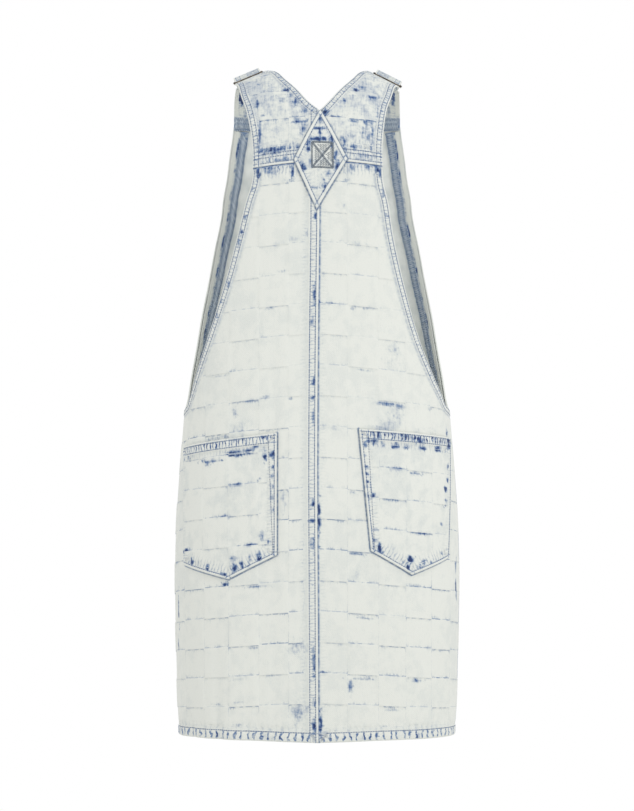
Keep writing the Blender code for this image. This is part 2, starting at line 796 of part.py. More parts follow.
def strap_loop(name, sign, profile):
    """A folded end of strap: a ribbon that follows a profile, seen along the bar."""
    origin, out, fore, off = shoulder_frame(sign)
    path = [Vector((0, y * MM, z * MM)) for y, z in profile]
    half = 0.5 * (STRAP_OUTER - STRAP_INNER) - LOOP_SHORT
    fine = []
    for k in range(len(path) - 1):
        before, a, b = path[max(k - 1, 0)], path[k], path[k + 1]
        after = path[min(k + 2, len(path) - 1)]
        for step in range(LOOP_STEPS):
            t = step / LOOP_STEPS
            fine.append(
                0.5 * (
                    2 * a + (b - before) * t + (2 * before - 5 * a + 4 * b - after) * t * t
                    + (3 * a - before - 3 * b + after) * t ** 3
                )
            )
    fine.append(path[-1])
    points, faces = [], []
    for k, here in enumerate(fine):
        run = (fine[min(k + 1, len(fine) - 1)] - fine[max(k - 1, 0)]).normalized()
        over = Vector((1, 0, 0)).cross(run)
        for u in (-half, half):
            for lift in (-0.5, 0.5):
                p = here + over * lift * LOOP_CLOTH
                points.append(origin + u * out + p.y * fore + p.z * off)
    for k in range(len(fine) - 1):
        a, b = 4 * k, 4 * k + 4
        for first, second in ((0, 1), (1, 3), (3, 2), (2, 0)):
            faces.append([a + first, a + second, b + second, b + first])
    last = 4 * (len(fine) - 1)
    faces += [[0, 2, 3, 1], [last, last + 1, last + 3, last + 2]]
    piece = solid(name, points, faces, DENIM)
    form = bmesh.new()
    form.from_mesh(piece.data)
    bmesh.ops.recalc_face_normals(form, faces=form.faces[:])
    form.to_mesh(piece.data)
    form.free()
    return piece


# Profiles of the folded strap ends in mm: to the front of the shoulder line, and off it.
BACK_END = (
    # fore, off
    (-21.4, -3.3),
    (-17.0, -2.6),
    (-12.5, -1.2),
    (-9.2, 1.6),
    (-7.0, 4.9),
    (-4.4, 6.3),
    (-2.2, 5.0),
    (-1.9, 2.8),
    (-3.4, 1.0),
    (-5.6, 0.9),
)
FRONT_END = (
    # fore, off
    (19.4, -5.3),
    (15.5, -3.6),
    (12.6, 0.4),
    (11.2, 5.4),
    (9.6, 8.6),
    (7.0, 9.5),
    (4.5, 8.4),
    (3.9, 6.2),
    (5.0, 4.1),
    (7.2, 3.5),
)


# ---------------------------------------------------------------- the dress

back_panel("back_left", LEFT)
back_panel("back_right", RIGHT)
front_panel()
for side_name, sign in (("left", LEFT), ("right", RIGHT)):
    back_yoke("back_yoke_" + side_name, sign)
    front_strap("front_strap_" + side_name, sign)
    armhole_facing("armhole_facing_" + side_name, sign)
    pocket("pocket_" + side_name)
    strap_slide("strap_slide_" + side_name, sign)
    strap_loop("back_strap_end_" + side_name, sign, BACK_END)
    strap_loop("front_strap_end_" + side_name, sign, FRONT_END)
diamond_patch()
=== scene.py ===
"""A sleeveless pinafore mini dress in bleached basket-weave denim, filled out and seen from behind.

Metres, +Z up, in the frame's axes: the back of the dress faces -Y. Each piece of cloth is cut flat in cloth
coordinates and laid on the worn form: s runs round the body from the centre, and q runs up the cloth.
"""

import math

import bpy
import numpy as np
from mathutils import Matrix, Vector, geometry


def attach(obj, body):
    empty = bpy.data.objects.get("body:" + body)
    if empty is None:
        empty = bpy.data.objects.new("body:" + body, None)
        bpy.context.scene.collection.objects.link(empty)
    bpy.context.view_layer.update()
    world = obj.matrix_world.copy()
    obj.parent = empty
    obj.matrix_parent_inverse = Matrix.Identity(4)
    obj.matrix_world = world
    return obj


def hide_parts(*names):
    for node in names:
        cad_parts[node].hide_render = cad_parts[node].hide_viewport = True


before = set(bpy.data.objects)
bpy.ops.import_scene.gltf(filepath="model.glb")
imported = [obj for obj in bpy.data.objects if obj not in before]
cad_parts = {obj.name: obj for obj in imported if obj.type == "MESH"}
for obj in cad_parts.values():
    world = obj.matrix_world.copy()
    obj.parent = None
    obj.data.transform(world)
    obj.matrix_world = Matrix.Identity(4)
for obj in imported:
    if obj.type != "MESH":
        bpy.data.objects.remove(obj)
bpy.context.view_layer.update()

MM = 0.001
BACK, FRONT = -1, 1
LEFT, RIGHT = -1, 1
SIDES = (("left", LEFT), ("right", RIGHT))

# The worn form: a rounded-off oval at each height, in mm.
SECTIONS = (
    # height, half_width, back_depth, front_depth
    (-862, 177.5, 118, 114),
    (-819, 180.0, 120, 116),
    (-767, 181.4, 121, 117),
    (-715, 182.7, 122, 117),
    (-611, 182.5, 121, 116),
    (-559, 180.0, 119, 115),
    (-507, 176.0, 114, 114),
    (-442, 170.5, 107, 113),
    (-360, 166.0, 101, 112),
    (-280, 162.0, 98, 112),
    (-200, 159.0, 97, 110),
    (-124, 157.0, 96, 102),
)
ROUNDNESS = 2.4
ARC_STEPS = 96
HEM = -862 * MM
ARMPIT = -442 * MM
SHOULDER_START = -124 * MM
SHOULDER_SLOPE = {LEFT: 0.42, RIGHT: 0.50}
SHOULDER_NECK = 65 * MM

# The basket weave: blocks of the cloth, every second one raised and lapping over its neighbours.
BLOCK_WIDTH = 38 * MM
BLOCK_HEIGHT = 38.9 * MM
ROW_START = -150.5 * MM
WEAVE_CENTRE = 1.4 * MM
ROW_SHIFT = {LEFT: ROW_START, RIGHT: ROW_START + BLOCK_HEIGHT}
POCKET_ROW_START = {"pocket_left": -529 * MM, "pocket_right": -547.5 * MM}
BLOCK_RISE = 0.75 * MM
ROW_OVERHANG = 0.4 * MM
COLUMN_OVERHANG = 0.3 * MM
LEDGE_HALF = 0.5 * MM
COLUMN_HALF = 1.6 * MM
ROW_DROP = 24 * MM
DROP_POWER = 1.3
LEVEL_FROM = -700 * MM
SETTLING_ROUNDS = 6

# Spacing of the mesh that carries the cloth: fine where the photograph looks, coarser on the front.
FINE_STEP = 2.3 * MM
FRONT_STEP = 3.5 * MM
EDGE_STEP = 2.0 * MM
SEAM_SLIT = 0.05 * MM
CLEAR_OF_EDGE = 0.35 * MM
POINTS_APART = 0.45 * MM
RIM_ROLL = 0.25 * MM
BAND_FADE = 1.5 * MM
FAR = 99.0
OFF_BAND = 30.0
SEAM_POINTS = 40
HEM_POINTS = 60
CENTRE_POINTS = 12

# Layers, measured out from the middle of the panel cloth.
CLOTH_HALF = 0.6 * MM
LAID_ON = 2.2 * MM
PATCH_LAID_ON = 2.4 * MM
PATCH_CLOTH = 1.2 * MM
FACING_OUT = -1.8 * MM
FACING_CLOTH = 1.0 * MM
STRAP_CLOTH = 1.6 * MM

# Folds where the skirt hangs, in mm, on both faces of the dress.
FOLDS = (
    # side, s, half_width, depth, top, bottom, lean
    (BACK, -56, 9, -1.3, -290, -430, 0),
    (BACK, -57, 8, -1.9, -380, -900, -20),
    (BACK, -88, 6, -1.5, -700, -900, 0),
    (BACK, -133, 7, -1.8, -640, -900, 5),
    (BACK, -192, 5, -1.6, -770, -860, 22),
    (BACK, -112, 14, 1.4, -620, -900, 0),
    (BACK, 74, 18, -1.6, -560, -900, 0),
    (BACK, 138, 16, 1.8, -650, -900, 0),
    (BACK, -176, 16, -2.0, -640, -900, 0),
    (FRONT, -70, 20, 2.2, -540, -900, 0),
    (FRONT, 30, 18, -1.8, -600, -900, 0),
    (FRONT, 118, 20, 2.0, -520, -900, 0),
)

# A short crease where the left strap bends towards its slide: places in mm, then half width and depth.
CREASE = ((-88, -17.5), (-80, -19), (-73, -23), (-66, -31))
CREASE_SIZE = (2.6 * MM, 1.5 * MM)

# Cut edges, in mm from the centre of the dress.
CENTRE_BACK = 2 * MM
CENTRE_LINE = (
    # height, out from the middle
    (-862, 2.0),
    (-720, 1.4),
    (-500, 0.5),
    (-350, 1.4),
    (-200, 3.2),
    (-60, 3.4),
)
BACK_ARMHOLE = (
    # height, left, right
    (-440.5, 169.6, 169.6),
    (-437.5, 167.3, 167.0),
    (-434, 165.0, 164.0),
    (-420, 161.0, 158.5),
    (-398, 155.0, 148.6),
    (-350, 139.6, 129.8),
    (-285, 118.8, 111.5),
    (-225, 102.5, 98.0),
    (-177, 90.5, 90.3),
    (-153, 83.0, 84.4),
)
YOKE_SEAM_END = (
    # height, left, right
    (-132, 81.0, 83.0),
)
YOKE_ARMHOLE = (
    # height, left, right
    (-110, 82.0, 83.0),
    (-89, 84.2, 84.4),
    (-59, 90.6, 89.0),
    (-41, 97.0, 95.4),
    (-24, 102.4, 102.6),
)
NECK = (
    # height, out from the centre back
    (-60, 0),
    (-48, 13),
    (-31, 28),
    (-18, 42),
    (-6, 56),
)
FRONT_ARMHOLE = (
    # height, half_width
    (-439, 170.0),
    (-429, 168.0),
    (-403, 164.4),
    (-363, 158.0),
    (-324, 152.0),
    (-270, 142.0),
    (-230, 135.0),
    (-190, 127.0),
    (-163, 124.0),
    (-137, 119.4),
    (-110, 116.2),
    (-84, 112.2),
    (-68, 110.0),
)
BIB_NECK = (
    # height, half_width
    (-68, 71),
    (-92, 62),
    (-104, 45),
    (-109, 20),
)
YOKE_SEAM = -124 * MM
SEAM_DROP = {LEFT: (1.6 * MM, 3.2 * MM), RIGHT: (0, 0)}
FACING_WIDTH = 20 * MM
FACING_INSET = 1.5 * MM
FACING_TOP = (-72, 110.4)
RAW_EDGE_SKIP = 8

# Patch pockets, corners in mm from the centre of the dress.
POCKETS = {
    "pocket_left": (
        # corner, x, height
        ("inner_top", -50.5, -470.5),
        ("outer_top", -168.5, -489.5),
        ("outer_bottom", -168.0, -640.0),
        ("point", -111.0, -656.0),
        ("inner_bottom", -50.5, -624.5),
    ),
    "pocket_right": (
        # corner, x, height
        ("inner_top", 52.5, -465.5),
        ("outer_top", 168.5, -478.0),
        ("outer_bottom", 166.5, -630.5),
        ("point", 119.0, -650.5),
        ("inner_bottom", 67.5, -619.5),
    ),
}

# Diamond crosspatch, corners in mm.
DIAMOND = (
    # x, height
    (4.2, -60.8),
    (-29.2, -124.0),
    (-0.5, -187.6),
    (38.4, -123.0),
)

# Strap slides: bars of round wire, lying on the shoulders.
STRAP_INNER = 70 * MM
STRAP_OUTER = 106 * MM
STRAP_SHIFT = {LEFT: 0.5 * MM, RIGHT: 2.5 * MM}
STRAP_SEAM = -71 * MM
FRONT_STRAP_EDGE = (
    # height, half_width
    (-71, 110.6),
    (-52, 110.2),
    (-34, 109.2),
)
YOKE_END = 22 * MM
STRAP_END = 20 * MM
SLIDE_MIDDLE = 89 * MM
SLIDE_HALF_LENGTH = 19.4 * MM
BAR_SPACING = 12.4 * MM
MIDDLE_BAR = (-5.0 * MM, -0.1 * MM)
WIRE = 1.3 * MM
MIDDLE_WIRE = 0.85 * WIRE
WIRE_SIDES = 16
BAR_CORNERS = 3.0 * MM
CORNER_STEPS = 8
SLIDE_TILT = math.radians(8)
LOOP_CLOTH = 1.3 * MM
LOOP_STEPS = 8
LOOP_SHORT = 0.3 * MM
LOOP_ACROSS = (-1, -0.96, -0.86, -0.7, -0.55, -0.3, 0, 0.3, 0.55, 0.7, 0.86, 0.96, 1)

# Profiles of the folded strap ends in mm: to the front of the shoulder line, and off it.
BACK_END = (
    # fore, off
    (-21.4, -3.3),
    (-17.0, -3.9),
    (-12.5, -3.6),
    (-9.2, -1.2),
    (-7.2, 2.2),
    (-4.6, 3.9),
    (-2.2, 2.6),
    (-1.7, -0.2),
    (-3.0, -2.6),
    (-5.4, -2.9),
)
FRONT_END = (
    # fore, off
    (19.4, -5.3),
    (15.5, -4.6),
    (12.6, -1.8),
    (11.2, 3.0),
    (9.6, 6.2),
    (7.0, 7.1),
    (4.5, 5.9),
    (3.8, 3.0),
    (4.8, 0.2),
    (7.2, -1.1),
)

# Finished edges and seams, in mm in from the edge: how far the cloth stands up, how much indigo is left in
# short streaks across the edge (streak) and in a line along it (line), and how pale it is worn. Under a lapping
# edge the line is also painted shade.
TURNED_EDGE = (
    # inwards, lift, streak, line, pale
    (0, -0.3, 0, 0.05, 0.7), (0.8, 1, 0, 0, 1), (1.7, 1.3, 0, 0, 0.8), (2.5, 0.8, 0.2, 0.05, 0.2),
    (3.4, 1.3, 0.7, 0, 0.3), (5.5, 1.4, 0.8, 0, 0.2), (7, 1.3, 0.8, 0, 0.1), (7.9, 0.8, 0.5, 0.1, 0.1),
    (8.8, 1.2, 0.1, 0, 0.5), (9.9, 0.8, 0.2, 0.25, 0.1), (11.2, 0, 0.5, 0.25, 0), (14.5, 0, 0, 0, 0),
)
HEM_EDGE = (
    # inwards, lift, streak, line, pale
    (0, -0.3, 0.1, 0, 0.6), (0.8, 0.9, 0.4, 0, 0.7), (2.6, 1.3, 1.5, 0, 0.3), (7, 1.3, 1.5, 0, 0.1),
    (10.8, 1.2, 1.4, 0, 0.1), (12.4, 0.6, 0.5, 0.1, 0.1), (13.9, 0.9, 0.3, 0, 0.3),
    (14.9, 0.1, 0.4, 0.1, 0), (19, 0, 0.2, 0, 0), (25, 0, 0, 0, 0),
)
CENTRE_LAP = (
    # inwards, lift, streak, line, pale
    (0, 0.2, 0, 0.3, 0.3), (0.7, 1.3, 0, 0, 1), (1.6, 1.6, 0, 0, 1), (2.6, 1.4, 0, 0, 0.5),
    (3.6, 0.9, 0.4, 0.1, 0.1), (5, 1.4, 0.7, 0.05, 0.2), (9.2, 1.4, 0.7, 0.05, 0.2),
    (10.8, 0.9, 0.4, 0.1, 0.1), (12.2, 1.2, 0.1, 0, 0.5), (13.6, 0.5, 0.1, 0.1, 0.1),
    (15, 0, 0.2, 0.14, 0), (18.5, 0, 0.3, 0.1, 0), (24, 0, 0, 0, 0),
)
# The line at this edge is indigo together with painted shade under the lapping edge of the other half.
CENTRE_UNDER = (
    # inwards, lift, streak, line, pale
    (0, 0, 0, 0.7, 0), (1, 0, 0, 0.6, 0), (1.9, 0, 0.1, 0.32, 0), (3, 0, 0.2, 0.08, 0), (6, 0, 0.2, 0, 0),
    (12, 0, 0, 0, 0),
)
YOKE_LAP = (
    # inwards, lift, streak, line, pale
    (0, 0.2, 0, 0.3, 0.3), (0.8, 1.6, 0, 0, 1), (2.6, 1.8, 0, 0, 0.9), (3.8, 1.1, 0.3, 0.1, 0.1),
    (5.2, 1.5, 0.8, 0, 0.2), (9, 1.5, 0.8, 0, 0.2), (10.4, 1, 0.5, 0.1, 0.1), (12.2, 1.4, 0.6, 0, 0.3),
    (14.4, 0.9, 0.6, 0.1, 0.1), (16.2, 0.9, 0.5, 0, 0.4), (17.4, 0, 0.9, 0.2, 0), (24, 0, 0.2, 0, 0),
    (30, 0, 0, 0, 0),
)
# The line at this edge is indigo together with painted shade under the lapping edge of the yoke.
UNDER_YOKE = (
    # inwards, lift, streak, line, pale
    (0, 0, 0, 0.95, 0), (1, 0, 0.3, 0.7, 0), (2.4, 0, 0.9, 0.15, 0), (9, 0, 0.6, 0, 0), (20, 0, 0, 0, 0),
)
SIDE_SEAM = (
    # inwards, lift, streak, line, pale
    (0, -0.4, 0.2, 0.6, 0), (1.2, 0.5, 0.2, 0.2, 0.4), (3, 0.5, 0.3, 0, 0.3), (7, 0, 0, 0, 0),
)
POCKET_MOUTH = (
    # inwards, lift, streak, line, pale
    (0, -0.2, 0, 0.1, 0.6), (0.9, 1.1, 0, 0, 1), (2, 1.3, 0, 0, 0.7), (3, 0.7, 0.9, 0.1, 0),
    (4.2, 1.2, 1.6, 0, 0.1), (9, 1.2, 1.6, 0, 0.1), (12, 0.7, 0.6, 0.1, 0.1), (13.2, 1, 0.2, 0, 0.5),
    (14.4, 0, 0.4, 0.1, 0), (20, 0, 0.3, 0, 0), (25, 0, 0, 0, 0),
)
POCKET_SIDE = (
    # inwards, lift, streak, line, pale
    (0, -0.2, 0, 0.2, 0.5), (0.9, 1, 0, 0, 1), (2.2, 1.2, 0, 0, 0.7), (3.2, 0.6, 0.2, 0.1, 0),
    (5, 0.5, 0.2, 0, 0.3), (7, 0, 0.2, 0, 0), (12, 0, 0, 0, 0),
)
POCKET_HIDDEN = (
    # inwards, lift, streak, line, pale
    (0, -0.2, 0, 0.35, 0), (1.2, 0.6, 0, 0.1, 0.2), (4, 0.2, 0.2, 0, 0), (9, 0, 0, 0, 0),
)
POCKET_INNER = (
    # inwards, lift, streak, line, pale
    (0, -0.2, 0, 0.2, 0.5), (0.9, 1, 0, 0, 1), (2.2, 1.2, 0, 0, 0.7), (3.2, 0.6, 0.2, 0.1, 0),
    (4.6, 1, 0.4, 0, 0.3), (8, 1, 0.4, 0, 0.3), (11, 0.6, 0.3, 0, 0.1), (12, 0, 0.2, 0, 0),
    (15, 0, 0, 0, 0),
)
POCKET_BOTTOM = (
    # inwards, lift, streak, line, pale
    (0, -0.2, 0, 0.3, 0.5), (0.9, 1, 0, 0, 1), (2.6, 1.1, 0, 0, 0.8), (3.8, 0.5, 0.2, 0.2, 0),
    (5.2, 0.3, 0.7, 0.1, 0), (10, 0, 0.6, 0, 0), (22, 0, 0, 0, 0),
)
DIAMOND_EDGE = (
    # inwards, lift, streak, line, pale
    (0, -0.2, 0, 0.45, 0.2), (0.8, 0.9, 0, 0, 1), (2, 1.1, 0, 0, 1), (3.3, 1, 0, 0, 0.9),
    (4.4, 0.2, 0.2, 0.45, 0), (6, 0.2, 0.5, 0.1, 0), (11, 0, 0.2, 0, 0), (17, 0, 0, 0, 0),
)
PLAIN_EDGE = (
    # inwards, lift, streak, line, pale
    (0, -0.2, 0, 0.1, 0.3), (0.8, 0, 0, 0, 0.2), (3, 0, 0, 0, 0),
)
FACING_EDGE = (
    # inwards, lift, streak, line, pale
    (0, 0, 0, 0.1, 0.8), (0.8, 0, 0, 0, 1), (5, 0, 0.1, 0, 0.9), (6.2, 0, 0.4, 0, 0), (10, 0, 0.4, 0, 0),
    (12, 0, 0.2, 0, 0), (14, 0, 0, 0, 0),
)
RAW_EDGE = (
    # inwards, lift, streak, line, pale
    (0, 0, 0.2, 0.62, 0), (5.5, 0, 0.2, 0.62, 0), (11, 0, 0.3, 0.58, 0), (12.4, 0, 0.2, 0.1, 0),
    (15, 0, 0, 0, 0),
)
STRAP_RAW_EDGE = (
    # inwards, lift, streak, line, pale
    (0, 0, 0.2, 0.65, 0), (8, 0, 0.2, 0.56, 0), (16, 0, 0.4, 0.5, 0), (19, 0, 0.4, 0.2, 0),
    (26, 0, 0, 0, 0),
)

# Rows of stitches along those edges, in mm in from the edge at its lower and its upper end.
STITCH_ROWS = {
    TURNED_EDGE: ((2.5, 2.5), (7.9, 7.9)),
    HEM_EDGE: ((12.4, 12.4),),
    CENTRE_LAP: ((3.6, 3.6), (10.8, 10.8)),
    YOKE_LAP: ((3.8, 3.8), (10.4, 10.4), (14.4, 14.4)),
    POCKET_MOUTH: ((3.0, 3.0), (12.0, 12.0)),
    POCKET_SIDE: ((3.2, 3.2),),
    POCKET_INNER: ((3.2, 3.2), (4.6, 11.2)),
    POCKET_BOTTOM: ((3.8, 3.8),),
    DIAMOND_EDGE: ((4.4, 4.4),),
    FACING_EDGE: ((2.2, 2.2),),
}
STITCH_PITCH = 3.2 * MM
STITCH_LENGTH = 2.5 * MM
STITCH_RADIUS = 0.34 * MM
OWN_EDGE = 0.92
PUCKER = 0.35 * MM
HEM_RISE = 2.4 * MM

# The hem is drawn in by wider puckers than the seams are.
PUCKER_PACE = {HEM_EDGE: 0.52}

# How much blue the ledges hold, and how dark the painted shade at their feet is, against mm up the cloth.
HELD = ((-500, -390, -190, -130), (0.95, 0.34, 0.34, 0.8))
POCKET_HELD = 0.6
HOLD_LUCK = 0.75

# Waves that add up to the uneven draw of the thread: wavelength in mm, share and start.
DRAW = ((6.3, 0.45, 0.0), (9.1, 0.35, 1.3), (15.7, 0.3, 0.4))

# Overlock thread over raw edges, and the stitched block on the diamond.
OVERLOCK_PITCH = 2.8 * MM
OVERLOCK_ROWS = (0.2, 11.2)
SECOND_OVERLOCK_ROWS = (8.0, 17.0)
OVERLOCK_RADIUS = 0.5 * MM
OVERLOCK_RUN = 0.9
OVERLOCK_UNEVEN = 0.9 * MM
BLOCK_CENTRE = (6.8, -118.6)
BLOCK_HALF = (13.2, 14.6)
SATIN_WIDTH = 2.8 * MM
SATIN_PITCH = 0.9 * MM
FILL_PITCH = 1.2 * MM
FILL_LENGTH = 0.8 * STITCH_PITCH
CROSS_CLEAR = 0.2
BOX_CLEAR = 2 * MM

# How much indigo is left over a whole layer of cloth.
WASH = {
    "back": 0.05,
    "yoke": 0.26,
    "pocket_left": 0.12,
    "pocket_right": 0.12,
    "diamond": 0.20,
    "front": 0.08,
    "facing": 0.26,
    "strap": 0.28,
}

# Indigo left in patches along the facings, in mm up from the side seam.
FACING_BLUE = {
    LEFT: (
        # along, half_length, amount
        (30, 10, 0.48), (60, 12, 0.56), (90, 12, 0.48), (122, 18, 0.72), (150, 11, 0.56), (180, 8, 0.4),
        (203, 12, 0.64), (243, 12, 0.68), (275, 11, 0.48), (305, 12, 0.48), (335, 10, 0.4), (365, 16, 0.8),
        (392, 10, 0.72),
    ),
    RIGHT: (
        # along, half_length, amount
        (40, 11, 0.48), (72, 12, 0.56), (105, 12, 0.48), (140, 15, 0.72), (170, 9, 0.4), (205, 10, 0.64),
        (222, 10, 0.48), (255, 15, 0.68), (296, 10, 0.4), (330, 15, 0.6), (362, 18, 0.76), (390, 10, 0.72),
    ),
}
FACING_BLUE_AT = 7.5
FACING_BLUE_HALF = 4.0
SPOT_FALL = 2.5
